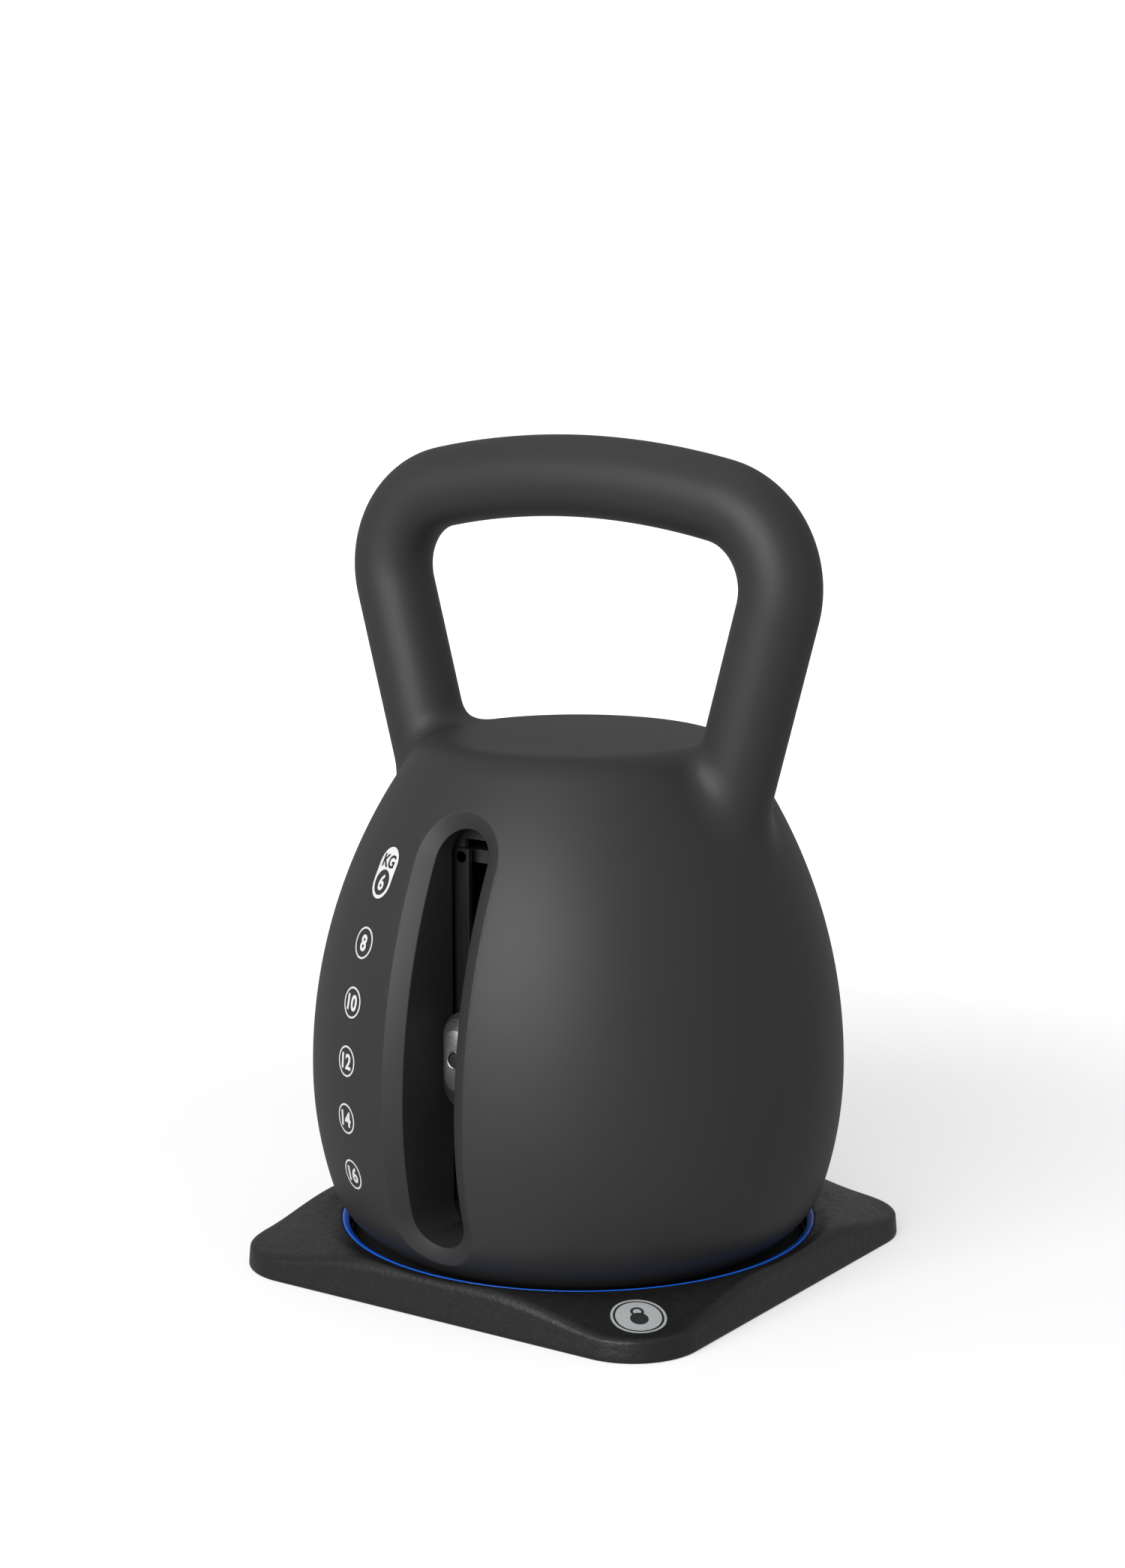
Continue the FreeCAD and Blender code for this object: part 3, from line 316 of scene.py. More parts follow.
def bell_profile(inset, steps=24):
    """Half profile from the bottom's middle to the top's middle, moved inwards by inset."""
    arcs = (
        (FOOT_X, FOOT_Z, BOTTOM_ROUND, -math.pi / 2, -FOOT_ANGLE),
        (LOWER_X, WAIST, LOWER_ARC, -FOOT_ANGLE, 0.0),
        (UPPER_X, WAIST, UPPER_ARC, 0.0, TOP_ANGLE),
        (TOP_X, TOP_Z, SHOULDER, TOP_ANGLE, math.pi / 2),
    )
    points = [(0.0, BELL_BOTTOM + inset)]
    for x, z, radius, start, stop in arcs:
        for step in range(steps):
            angle = start + (stop - start) * step / steps
            points.append((x + (radius - inset) * math.cos(angle), z + (radius - inset) * math.sin(angle)))
    points.append((TOP_X, BELL_TOP - inset))
    points.append((0.0, BELL_TOP - inset))
    return points


print("shoulder begins at radius", round(TOP_X / MM, 1), "mm")

# %% The bent bar of the grip
CROWN_HEIGHT = 365.3 * MM
CROWN_ARC = 368.0 * MM
CORNER_ARC = 39.0 * MM
LEG_OFFSET = 21.3 * MM
LEG_SLOPE = 0.271
GRIP_RADIUS = 18.65 * MM
LEG_FOOT = 170.0 * MM        # the legs end out of sight inside the wall
CROWN_Z = CROWN_HEIGHT - CROWN_ARC
LEAN = math.hypot(LEG_SLOPE, 1.0)


def corner_centre():
    """Centre of the arc that touches both the arched crown and the straight leg."""
    start = LEG_OFFSET - CORNER_ARC * LEAN
    reach = CROWN_ARC - CORNER_ARC
    half = LEG_SLOPE * start - CROWN_Z
    inner = half ** 2 - LEAN ** 2 * (start ** 2 + CROWN_Z ** 2 - reach ** 2)
    z = (math.sqrt(inner) - half) / LEAN ** 2
    return start + LEG_SLOPE * z, z


CORNER_X, CORNER_Z = corner_centre()
BEND_ANGLE = math.atan2(CORNER_Z - CROWN_Z, CORNER_X)
LEG_ANGLE = -math.atan(LEG_SLOPE)


def bar_line():
    """Points along the bar's centre line, from the left foot to the right foot, with the way it runs."""
    half = []
    crown_angles = np.linspace(math.pi / 2, BEND_ANGLE, 16)
    half += [(CROWN_ARC * math.cos(a), CROWN_Z + CROWN_ARC * math.sin(a)) for a in crown_angles]
    corner_angles = np.linspace(BEND_ANGLE, LEG_ANGLE, 14)[1:]
    half += [(CORNER_X + CORNER_ARC * math.cos(a), CORNER_Z + CORNER_ARC * math.sin(a))
             for a in corner_angles]
    leg_x, leg_z = half[-1]
    for share in np.linspace(0, 1, 16)[1:]:
        z = leg_z + (LEG_FOOT - leg_z) * share
        half.append((leg_x - LEG_SLOPE * (leg_z - z), z))
    left = [(-x, z) for x, z in reversed(half[1:])]
    return np.array(left + half)


def bar_mesh(name, radius, around=32):
    line = bar_line()
    ways = np.gradient(line, axis=0)
    rows = []
    for (x, z), (dx, dz) in zip(line, ways):
        size = math.hypot(dx, dz)
        side = (-dz / size, dx / size)
        angles = [2 * math.pi * s / around for s in range(around)]
        rows.append([(x + side[0] * radius * math.cos(a), radius * math.sin(a),
                      z + side[1] * radius * math.cos(a)) for a in angles])
    return outward(new_piece(name, *capped(rows)))


print("grip corner at", round(CORNER_X / MM, 1), round(CORNER_Z / MM, 1), "mm")

# %% Distances to the bell, to the bar, and to both with a fillet
FILLET = 13.0 * MM


def bell_distance(p):
    rho = np.hypot(p[:, 0], p[:, 1])
    z = p[:, 2]
    on_upper = np.arctan2(z - WAIST, rho - UPPER_X) <= TOP_ANGLE
    on_lower = np.arctan2(WAIST - z, rho - LOWER_X) <= FOOT_ANGLE
    top = np.where(rho <= TOP_X, z - BELL_TOP, np.hypot(rho - TOP_X, z - TOP_Z) - SHOULDER)
    upper = np.where(on_upper, np.hypot(rho - UPPER_X, z - WAIST) - UPPER_ARC, top)
    foot = np.where(rho <= FOOT_X, BELL_BOTTOM - z, np.hypot(rho - FOOT_X, z - FOOT_Z) - BOTTOM_ROUND)
    lower = np.where(on_lower, np.hypot(rho - LOWER_X, z - WAIST) - LOWER_ARC, foot)
    return np.where(z >= WAIST, upper, lower)


def bar_distance(p):
    x = np.abs(p[:, 0])
    z = p[:, 2]
    turn = np.arctan2(z - CORNER_Z, x - CORNER_X)
    crown = np.hypot(x, z - CROWN_Z) - CROWN_ARC
    corner = np.hypot(x - CORNER_X, z - CORNER_Z) - CORNER_ARC
    leg = ((x - CORNER_X) - LEG_SLOPE * (z - CORNER_Z)) / LEAN - CORNER_ARC
    across = np.where(turn > BEND_ANGLE, crown, np.where(turn > LEG_ANGLE, corner, leg))
    return np.hypot(across, p[:, 1]) - GRIP_RADIUS


def outside_distance(p):
    bell = bell_distance(p)
    bar = np.where(p[:, 2] < LEG_FOOT, 1.0, bar_distance(p))
    share = np.maximum(FILLET - np.abs(bell - bar), 0) / FILLET
    return np.minimum(bell, bar) - share ** 2 * FILLET / 4


def slide_onto(points, distance, rounds=8):
    """Newton steps along the distance's slope."""
    step = 1e-6
    for _ in range(rounds):
        here = distance(points)
        slope = np.stack([(distance(points + d) - here) / step for d in np.eye(3) * step], axis=1)
        size = np.maximum((slope ** 2).sum(axis=1), 1e-3)
        points = points - slope * np.clip(here / size, -0.004, 0.004)[:, None]
    return points


def make_bell_blank():
    blank = revolve("bell_skin", bell_profile(0.0))
    carve(blank, bar_mesh("bar", GRIP_RADIUS), "UNION")
    remesh = blank.modifiers.new("even", "REMESH")
    remesh.mode = "VOXEL"
    remesh.voxel_size = 0.0021
    baked(blank)
    count = len(blank.data.vertices)
    flat = np.empty(count * 3)
    blank.data.vertices.foreach_get("co", flat)
    points = slide_onto(flat.reshape(-1, 3), outside_distance)
    blank.data.vertices.foreach_set("co", points.ravel())
    blank.data.update()
    print("bell blank:", count, "points, farthest off the surface",
          round(float(np.abs(outside_distance(points)).max()) / MM, 4), "mm")
    return blank


bell_skin = make_bell_blank()

# %% [markdown]
# The slot has a flat bevel round its mouth, as wide at the waist as at the ends, so the bevel follows
# the bell's curve. Its cutter is a grid: one row of points per step of the bevel's section, each row
# going once round the slot's outline and keeping its own depth under the surface. Behind them the slot
# widens into the bay that the rails run in.

# %% The slot's cutter
BAY_HALF = channel_high[0] - 2.5 * MM
SLOT_HALF = block_high[0] + 0.5 * MM
SLOT_LOW = channel_low[2] + 2.5 * MM
SLOT_HIGH = channel_high[2] - 2.5 * MM
BACK_WALL = -72.5 * MM
BAY_FRONT = -78.0 * MM       # the slot widens behind this
CUT_FRONT = -0.14            # the cutters start in front of everything
BEVEL_WIDTH = 7.9 * MM
BEVEL_DEPTH = 5.9 * MM
OUTER_SOFT = 0.9 * MM        # rounding where the bevel leaves the outside
INNER_SOFT = 0.7 * MM        # rounding where the bevel meets the wall


def stadium(half, low, high, arc_steps=28, side_step=4.0 * MM):
    """Points and outward directions round an upright slot, in X and Z."""
    points = []
    for middle, start in ((high - half, 0.0), (low + half, math.pi)):
        for step in range(arc_steps + 1):
            angle = start + math.pi * step / arc_steps
            away = (math.cos(angle), math.sin(angle))
            points.append((half * away[0], middle + half * away[1], *away))
        side = points[-1]
        run = high - low - 2 * half
        count = int(run / side_step)
        way = -1 if start == 0.0 else 1
        points += [(side[0], side[1] + way * run * k / count, side[2], 0.0) for k in range(1, count)]
    return points


def bevel_section():
    """(sideways, depth) from outside the bell to the slot's wall, with both corners rounded."""
    slope = math.atan2(BEVEL_DEPTH, BEVEL_WIDTH)
    reach = OUTER_SOFT * math.tan(slope / 2)
    start = BEVEL_WIDTH + reach
    angles = np.linspace(math.radians(13), slope, 6)
    outer = [(start - OUTER_SOFT * math.sin(a), OUTER_SOFT * (1 - math.cos(a))) for a in angles]
    first = outer[0]
    outside = (first[0] + 3 * MM * math.cos(angles[0]), first[1] - 3 * MM * math.sin(angles[0]))
    turn = math.pi / 2 - slope
    back = INNER_SOFT * math.tan(turn / 2)
    inner = [(INNER_SOFT * (1 - math.cos(a)), BEVEL_DEPTH + back - INNER_SOFT * math.sin(a))
             for a in np.linspace(turn, 0, 5)]
    return [outside] + outer + inner


def make_slot_cutter():
    rim = stadium(SLOT_HALF, SLOT_LOW, SLOT_HIGH)
    rows = []
    section = bevel_section()
    front = [(x + nx * section[0][0], CUT_FRONT, z + nz * section[0][0]) for x, z, nx, nz in rim]
    rows.append(front)
    for sideways, depth in section:
        row = []
        for x, z, nx, nz in rim:
            px = x + nx * sideways
            pz = z + nz * sideways
            row.append((px, depth - math.sqrt(float(bell_radius_at(pz)) ** 2 - px ** 2), pz))
        rows.append(row)
    widened = BAY_HALF / SLOT_HALF
    for share, y in ((1.0, BAY_FRONT - 2 * MM), (widened, BAY_FRONT), (widened, BACK_WALL)):
        rows.append([(x * share, y, z) for x, z, nx, nz in rim])
    return outward(new_piece("slot_cutter", *capped(rows)))


def prism(name, half, low, high, front, back):
    rim = stadium(half, low, high)
    rows = [[(x, y, z) for x, z, nx, nz in rim] for y in (front, back)]
    return outward(new_piece(name, *capped(rows)))


def block(name, low, high):
    rows = [[(low[0], y, low[2]), (high[0], y, low[2]), (high[0], y, high[2]), (low[0], y, high[2])]
            for y in (low[1], high[1])]
    return outward(new_piece(name, *capped(rows)))


# %% Hollow the bell
LIP_WIDTH = 8.0 * MM
LIP_DEPTH = 13.0 * MM
CHANNEL_WALL = 2.5 * MM
SLIT_HALF = 12.0 * MM
SLIT_FOOT = 4.0 * MM         # the slit starts this far above the slot's lower end
SLIT_HEAD = 7.5 * MM         # and stops this far below its upper end


def make_hollow():
    """All that is taken out of the blank: the inside, the slot, its slit and the mouth."""
    hollow = revolve("hollow", bell_profile(BELL_WALL, 12), 128)
    lip = prism("lip", SLOT_HALF + LIP_WIDTH, SLOT_LOW - LIP_WIDTH, SLOT_HIGH + LIP_WIDTH, CUT_FRONT,
                BACK_WALL)
    carve(lip, revolve("behind_lip", bell_profile(LIP_DEPTH, 12), 96))
    carve(hollow, lip)
    carve(hollow, prism("channel", BAY_HALF + CHANNEL_WALL, SLOT_LOW - CHANNEL_WALL, SLOT_HIGH + CHANNEL_WALL,
                        CUT_FRONT, BACK_WALL + CHANNEL_WALL))
    carve(hollow, make_slot_cutter(), "UNION")
    carve(hollow, block("slit", (-SLIT_HALF, BACK_WALL - MM, SLOT_LOW + SLIT_FOOT),
                        (SLIT_HALF, BACK_WALL + CHANNEL_WALL + MM, SLOT_HIGH - SLIT_HEAD)), "UNION")
    low = BELL_BOTTOM - MM
    high = BELL_BOTTOM + BELL_WALL + MM
    mouth = revolve("mouth", [(0, low), (MOUTH_RADIUS, low), (MOUTH_RADIUS, high), (0, high)], 128)
    return carve(hollow, mouth, "UNION")


carve(bell_skin, make_hollow())
smooth(bell_skin, 32)
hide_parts("outer_shell", "slot_channel")
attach(bell_skin, "bell")
print("bell:", len(bell_skin.data.polygons), "faces")

# %% [markdown]
# ## The docking tray
# The tray is a rounded square. Its top is level beside the bell, rises a little at the middle of each
# side and droops in a soft S towards each corner. That is a rule, so a flat tray is built as a grid from
# the round recess out to the square rim, and a Geometry Nodes tree with named sizes lowers its top.

# %% A helper for Geometry Nodes
def socket_of(node, key):
    """A node's input, by number (i0) or by name."""
    return node.inputs[int(key[1:])] if key[1:].isdigit() else node.inputs[key.replace("_", " ")]


class Tree:
    """A Geometry Nodes group with named inputs; each method adds one node and returns it."""

    def __init__(self, name, **inputs):
        self.group = bpy.data.node_groups.new(name, "GeometryNodeTree")
        self.group.interface.new_socket("Geometry", in_out="INPUT", socket_type="NodeSocketGeometry")
        self.sockets = {}
        for label, value in inputs.items():
            kind = {float: "NodeSocketFloat", int: "NodeSocketInt"}.get(type(value), value)
            socket = self.group.interface.new_socket(label.replace("_", " "), in_out="INPUT",
                                                     socket_type=kind)
            if kind != value:
                socket.default_value = value
            self.sockets[label] = socket.identifier
        self.group.interface.new_socket("Geometry", in_out="OUTPUT", socket_type="NodeSocketGeometry")
        self.start = self.group.nodes.new("NodeGroupInput")
        self.end = self.group.nodes.new("NodeGroupOutput")

    def input(self, label="Geometry"):
        return self.start.outputs[label.replace("_", " ")]

    def node(self, kind, settings=None, **values):
        node = self.group.nodes.new(kind)
        for key, value in (settings or {}).items():
            setattr(node, key, value)
        for key, value in values.items():
            self.set(socket_of(node, key), value)
        return node

    def set(self, socket, value):
        if isinstance(value, bpy.types.Node):
            value = value.outputs[0]
        if isinstance(value, bpy.types.NodeSocket):
            self.group.links.new(value, socket)
        else:
            socket.default_value = value

    def math(self, operation, *values):
        node = self.group.nodes.new("ShaderNodeMath")
        node.operation = operation
        for socket, value in zip(node.inputs, values):
            self.set(socket, value)
        return node.outputs[0]

    def finish(self, geometry):
        """End in Realize Instances and Set Material."""
        real = self.node("GeometryNodeRealizeInstances", i0=geometry)
        finish = self.node("GeometryNodeSetMaterial", i0=real)
        finish.inputs["Material"].default_value = None
        self.group.links.new(finish.outputs[0], self.end.inputs[0])
        return self

    def apply(self, piece, **values):
        """Run the tree on a piece, keep the result as a plain mesh and drop the modifier."""
        step = piece.modifiers.new(self.group.name, "NODES")
        step.node_group = self.group
        for label, value in values.items():
            step[self.sockets[label]] = value
        return baked(piece)


# %% The droop of the tray's top
TRAY_TOP = 19.8 * MM
TRAY_HALF = tray_high[0]
TRAY_CORNER = 33.0 * MM
DROOP = 6.8 * MM             # how far the corners lie below the middle of a side
DROOP_START = 119.0 * MM
DROOP_RUN = 34.0 * MM
DROOP_BASE = 2.5 * MM        # nothing below this height moves
DIP = 2.1 * MM               # beside the ring the top lies this much lower than at a side's middle
DIP_START = ring_high[0]
RISE_START = DIP_START + 1.5 * MM
RISE_RUN = 7.0 * MM
RISE_NEAR = 35.0 * MM        # the rise fades between these distances from a side's middle
RISE_FAR = 85.0 * MM


def make_droop_tree():
    tree = Tree("droop_to_corners", Top=0.02, Base=0.0025, Droop=0.008, Start=0.12, Run=0.03, Dip=0.002,
                Ring=0.112, Rise_Start=0.113, Rise_Run=0.007, Near=0.03, Far=0.08)
    place = tree.node("GeometryNodeInputPosition")
    parts = tree.node("ShaderNodeSeparateXYZ", i0=place)
    flat = tree.node("ShaderNodeCombineXYZ", i0=parts.outputs[0], i1=parts.outputs[1])
    reach = tree.node("ShaderNodeVectorMath", {"operation": "LENGTH"}, i0=flat).outputs[1]

    def ramp(value, start, run):
        past = tree.math("DIVIDE", tree.math("SUBTRACT", value, start), run)
        return tree.node("ShaderNodeMapRange", {"interpolation_type": "SMOOTHSTEP"}, Value=past).outputs[0]

    across = [tree.math("ABSOLUTE", parts.outputs[k]) for k in (0, 1)]
    aside = ramp(tree.math("MINIMUM", *across), tree.input("Near"),
                 tree.math("SUBTRACT", tree.input("Far"), tree.input("Near")))
    rise = tree.math("MULTIPLY", ramp(reach, tree.input("Rise_Start"), tree.input("Rise_Run")),
                     tree.math("SUBTRACT", 1.0, aside))
    outside = tree.math("GREATER_THAN", reach, tree.input("Ring"))
    dip = tree.math("MULTIPLY", tree.math("MULTIPLY", tree.input("Dip"), outside),
                    tree.math("SUBTRACT", 1.0, rise))
    droop = tree.math("MULTIPLY", ramp(reach, tree.input("Start"), tree.input("Run")), tree.input("Droop"))
    height = tree.math("DIVIDE", tree.math("SUBTRACT", parts.outputs[2], tree.input("Base")),
                       tree.math("SUBTRACT", tree.input("Top"), tree.input("Base")))
    share = tree.node("ShaderNodeClamp", i0=height).outputs[0]
    sink = tree.math("MULTIPLY", tree.math("ADD", droop, dip), share)
    move = tree.node("ShaderNodeCombineXYZ", i2=tree.math("MULTIPLY", sink, -1.0))
    lowered = tree.node("GeometryNodeSetPosition", i0=tree.input(), Offset=move)
    return tree.finish(lowered)


def ease(value, start, run):
    past = min(max((value - start) / run, 0), 1)
    return past * past * (3 - 2 * past)


def tray_height_at(x, y):
    """The same surface as a number, for what lies on the tray."""
    reach = math.hypot(x, y)
    aside = ease(min(abs(x), abs(y)), RISE_NEAR, RISE_FAR - RISE_NEAR)
    dip = DIP * (1 - ease(reach, RISE_START, RISE_RUN) * (1 - aside))
    return TRAY_TOP - dip - DROOP * ease(reach, DROOP_START, DROOP_RUN)


droop_tree = make_droop_tree()
print("corner height", round(tray_height_at(0.11, 0.11) / MM, 1), "mm")

# %% The tray itself
AROUND = 720
RING_OUTER = ring_high[0]
RING_INNER = RING_OUTER - 3.3 * MM
RING_TOP = 17.6 * MM
RECESS_FLOOR = 6.0 * MM
RING_DEEP = 5.0 * MM
TRAY_EDGE = 4.6 * MM         # rounding along the top
TRAY_FOOT = 1.2 * MM         # rounding along the bottom
TRAY_LEAN = 0.6 * MM         # the sides lean in by this


def round_row(radius, z):
    angles = [2 * math.pi * s / AROUND for s in range(AROUND)]
    return [(radius * math.cos(a), radius * math.sin(a), z) for a in angles]


def square_row(inset, z):
    """The tray's outline moved inwards, one point on each ray from the centre."""
    half = TRAY_HALF - inset
    corner = TRAY_CORNER - inset
    middle = half - corner
    row = []
    for s in range(AROUND):
        angle = 2 * math.pi * s / AROUND
        way = (math.cos(angle), math.sin(angle))
        reach = half / max(abs(way[0]), abs(way[1]))
        if min(abs(way[0]), abs(way[1])) * reach > middle:
            along = middle * (abs(way[0]) + abs(way[1]))
            reach = along + math.sqrt(along ** 2 - 2 * middle ** 2 + corner ** 2)
        row.append((way[0] * reach, way[1] * reach, z))
    return row


def blend_rows(first, last, steps):
    """Rows between two rows, both ends left out."""
    return [[tuple(a + (b - a) * k / steps for a, b in zip(p, q)) for p, q in zip(first, last)]
            for k in range(1, steps)]


def make_tray():
    rows = [round_row(0.5 * MM, 0.0), square_row(10 * MM, 0.0), square_row(TRAY_FOOT, 0.0)]
    rows += [square_row(TRAY_FOOT * (1 - math.sin(a)), TRAY_FOOT * (1 - math.cos(a)))
             for a in np.linspace(0, math.pi / 2, 4)[1:]]
    side_top = TRAY_TOP - TRAY_EDGE
    rows += blend_rows(square_row(0.0, TRAY_FOOT), square_row(TRAY_LEAN, side_top), 6)
    rows += [square_row(TRAY_LEAN + (TRAY_EDGE - TRAY_LEAN) * (1 - math.cos(a)),
                        side_top + TRAY_EDGE * math.sin(a)) for a in np.linspace(0, math.pi / 2, 9)]
    lip = round_row(RING_OUTER + 1.4 * MM, TRAY_TOP)
    rows += blend_rows(rows[-1], lip, 14) + [lip]
    rows += [round_row(RING_OUTER + 0.6 * MM, TRAY_TOP - 0.12 * MM),
             round_row(RING_OUTER + 0.1 * MM, TRAY_TOP - 0.6 * MM),
             round_row(RING_OUTER + 0.1 * MM, RING_TOP - RING_DEEP),
             round_row(RING_INNER, RING_TOP - RING_DEEP), round_row(RING_INNER, RECESS_FLOOR + 2 * MM),
             round_row(RING_INNER - 2 * MM, RECESS_FLOOR), round_row(0.5 * MM, RECESS_FLOOR)]
    tray = outward(new_piece("tray_body", *capped(rows)))
    droop_tree.apply(tray, Top=TRAY_TOP, Base=DROOP_BASE, Droop=DROOP, Start=DROOP_START, Run=DROOP_RUN,
                     Dip=DIP, Ring=DIP_START, Rise_Start=RISE_START, Rise_Run=RISE_RUN,
                     Near=RISE_NEAR, Far=RISE_FAR)
    smooth(tray, 40)
    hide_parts("tray_base")
    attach(tray, "tray")
    return tray


tray_body = make_tray()
print("tray:", len(tray_body.data.polygons), "faces")

# %% [markdown]
# ## The blue ring
# A thin ring of bright plastic lies in a groove round the recess. Its top slopes a little inwards, and
# its outer edge is rounded, which is what makes the thin bright line along it.

# %% Ring
def make_ring():
    top = RING_TOP
    outer = RING_OUTER
    profile = [(RING_INNER + 0.05 * MM, top - 4.9 * MM), (outer - 0.05 * MM, top - 4.9 * MM)]
    profile += [(outer - 0.55 * MM + 0.5 * MM * math.cos(a), top - 0.5 * MM + 0.5 * MM * math.sin(a))
                for a in np.linspace(0, math.radians(70), 6)]
    profile += [(outer - 1.0 * MM, top - 0.12 * MM), (RING_INNER + 0.5 * MM, top - 0.75 * MM),
                (RING_INNER + 0.05 * MM, top - 1.2 * MM), (RING_INNER + 0.05 * MM, top - 4.9 * MM)]
    ring = revolve("blue_ring", profile, 360)
    welded(ring)
    smooth(ring, 40)
    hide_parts("accent_ring")
    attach(ring, "tray")
    return ring


blue_ring = make_ring()
print("ring:", len(blue_ring.data.polygons), "faces")

# %% [markdown]
# ## Printed marks
# The weights are printed on the bell beside the slot, one every step of the selector, each in a thin
# ring. The top one sits in a white pill with the unit above it. They are drawn flat in front of the
# bell, and a Geometry Nodes tree then lays every point on the nearest surface straight behind it, as a
# pad printer would.

# %% Flat drawings
MARK_TURN = math.radians(22.9)       # round from the slot, towards the left
MARK_STEP = 26.5 * MM
FIRST_MARK = 188.7 * MM
MARK_RADIUS = 7.0 * MM
MARK_STROKE = 0.8 * MM
MARK_OUT = 0.2                       # the drawings start this far from the axis
LONGEST_EDGE = 1.5 * MM              # longer ones are halved, so the ink follows the curve
mark_front = Vector((-math.sin(MARK_TURN), -math.cos(MARK_TURN), 0))
mark_right = Vector((math.cos(MARK_TURN), -math.sin(MARK_TURN), 0))


def drawn(rows):
    """Flat faces between rows of (right, up) points."""
    points, faces = skin([[(x, y, 0) for x, y in row] for row in rows])
    return points, faces


def circle_row(radius, up=0.0, steps=64):
    return [(radius * math.cos(2 * math.pi * s / steps), up + radius * math.sin(2 * math.pi * s / steps))
            for s in range(steps)]


def pill_row(radius, rise, steps=64):
    """An upright pill's outline seen from its lower centre, one point on each ray."""
    row = []
    for s in range(steps):
        angle = 2 * math.pi * s / steps
        way = (math.cos(angle), math.sin(angle))
        side = radius / max(abs(way[0]), 1e-9)
        if way[1] < 0:
            reach = radius
        elif side * way[1] < rise:
            reach = side
        else:
            reach = rise * way[1] + math.sqrt(radius ** 2 - (rise * way[0]) ** 2)
        row.append((way[0] * reach, way[1] * reach))
    return row


def lettering(text, height):
    """Text as a flat mesh's (points, faces), centred."""
    curve = bpy.data.curves.new("lettering", "FONT")
    curve.body = text
    curve.size = height
    curve.align_x = "CENTER"
    curve.align_y = "CENTER"
    curve.offset = height * 0.03
    shape = bpy.data.objects.new("lettering", curve)
    scene.collection.objects.link(shape)
    scene.view_layers[0].update()
    mesh = bpy.data.meshes.new_from_object(shape.evaluated_get(bpy.context.evaluated_depsgraph_get()))
    points = [tuple(v.co) for v in mesh.vertices]
    xs = [p[0] for p in points]
    ys = [p[1] for p in points]
    middle = ((min(xs) + max(xs)) / 2, (min(ys) + max(ys)) / 2)
    points = [(x - middle[0], y - middle[1], 0) for x, y, _ in points]
    faces = [tuple(p.vertices) for p in mesh.polygons]
    bpy.data.objects.remove(shape)
    bpy.data.meshes.remove(mesh)
    return points, faces


def gather(drawings):
    """Join drawings given as ((points, faces), right, up) into one set of points and faces."""
    points = []
    faces = []
    for (here, joined), right, up in drawings:
        first = len(points)
        points += [(x + right, y + up, 0) for x, y, _ in here]
        faces += [tuple(first + v for v in face) for face in joined]
    return points, faces


# %% Lay them on the bell
def make_printing_tree():
    tree = Tree("print_on_surface", Surface="NodeSocketObject", Lift=0.0001)
    target = tree.node("GeometryNodeObjectInfo", {"transform_space": "RELATIVE"},
                       Object=tree.input("Surface"))
    ray = tree.node("GeometryNodeRaycast", Target_Geometry=target.outputs["Geometry"], Ray_Length=1.0)
    ray.inputs["Ray Direction"].default_value = tuple(-mark_front)
    lift = tree.node("ShaderNodeVectorMath", {"operation": "SCALE"}, i0=ray.outputs["Hit Normal"],
                     Scale=tree.input("Lift"))
    place = tree.node("ShaderNodeVectorMath", {"operation": "ADD"}, i0=ray.outputs["Hit Position"], i1=lift)
    laid = tree.node("GeometryNodeSetPosition", i0=tree.input(), Selection=ray.outputs["Is Hit"],
                     Position=place)
    return tree.finish(laid)


printing_tree = make_printing_tree()


def print_on_bell(name, drawings, lift):
    points, faces = gather(drawings)
    placed = [mark_front * MARK_OUT + mark_right * x + Vector((0, 0, y)) for x, y, _ in points]
    piece = new_piece(name, placed, faces)
    cut = bmesh.new()
    cut.from_mesh(piece.data)
    bmesh.ops.triangulate(cut, faces=cut.faces)
    for _ in range(3):
        long_edges = [edge for edge in cut.edges if edge.calc_length() > LONGEST_EDGE]
        bmesh.ops.subdivide_edges(cut, edges=long_edges, cuts=1)
        bmesh.ops.triangulate(cut, faces=cut.faces)
    cut.to_mesh(piece.data)
    cut.free()
    printing_tree.apply(piece, Surface=bell_skin, Lift=lift)
    thick = piece.modifiers.new("ink", "SOLIDIFY")
    thick.thickness = 0.06 * MM
    thick.offset = 1.0
    baked(piece)
    outward(piece)
    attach(piece, "bell")
    return piece


def make_marks():
    rise = 8.2 * MM
    white = [(drawn([pill_row(MARK_RADIUS, rise), circle_row(MARK_RADIUS - 1.5 * MM)]), 0.0, FIRST_MARK)]
    white.append((lettering("6", 9.0 * MM), 0.0, FIRST_MARK))
    for step, weight in enumerate(("8", "10", "12", "14", "16"), start=1):
        up = FIRST_MARK - MARK_STEP * step
        white.append((drawn([circle_row(MARK_RADIUS), circle_row(MARK_RADIUS - MARK_STROKE)]), 0.0, up))
        white.append((lettering(weight, 9.6 * MM), 0.0, up))
    marks = print_on_bell("weight_marks", white, 0.07 * MM)
    unit = print_on_bell("unit_mark", [(lettering("KG", 7.4 * MM), 0.0, FIRST_MARK + 9.2 * MM)], 0.16 * MM)
    return marks, unit


weight_marks, unit_mark = make_marks()
print("marks:", len(weight_marks.data.polygons), "faces")

# %% [markdown]
# ## The round badge
# A thin disc lies on the front corner and follows the droop. It carries a plain ring and a small weight
# sign.

# %% Badge
BADGE_AT = 96.6 * MM
BADGE_RADIUS = 12.4 * MM


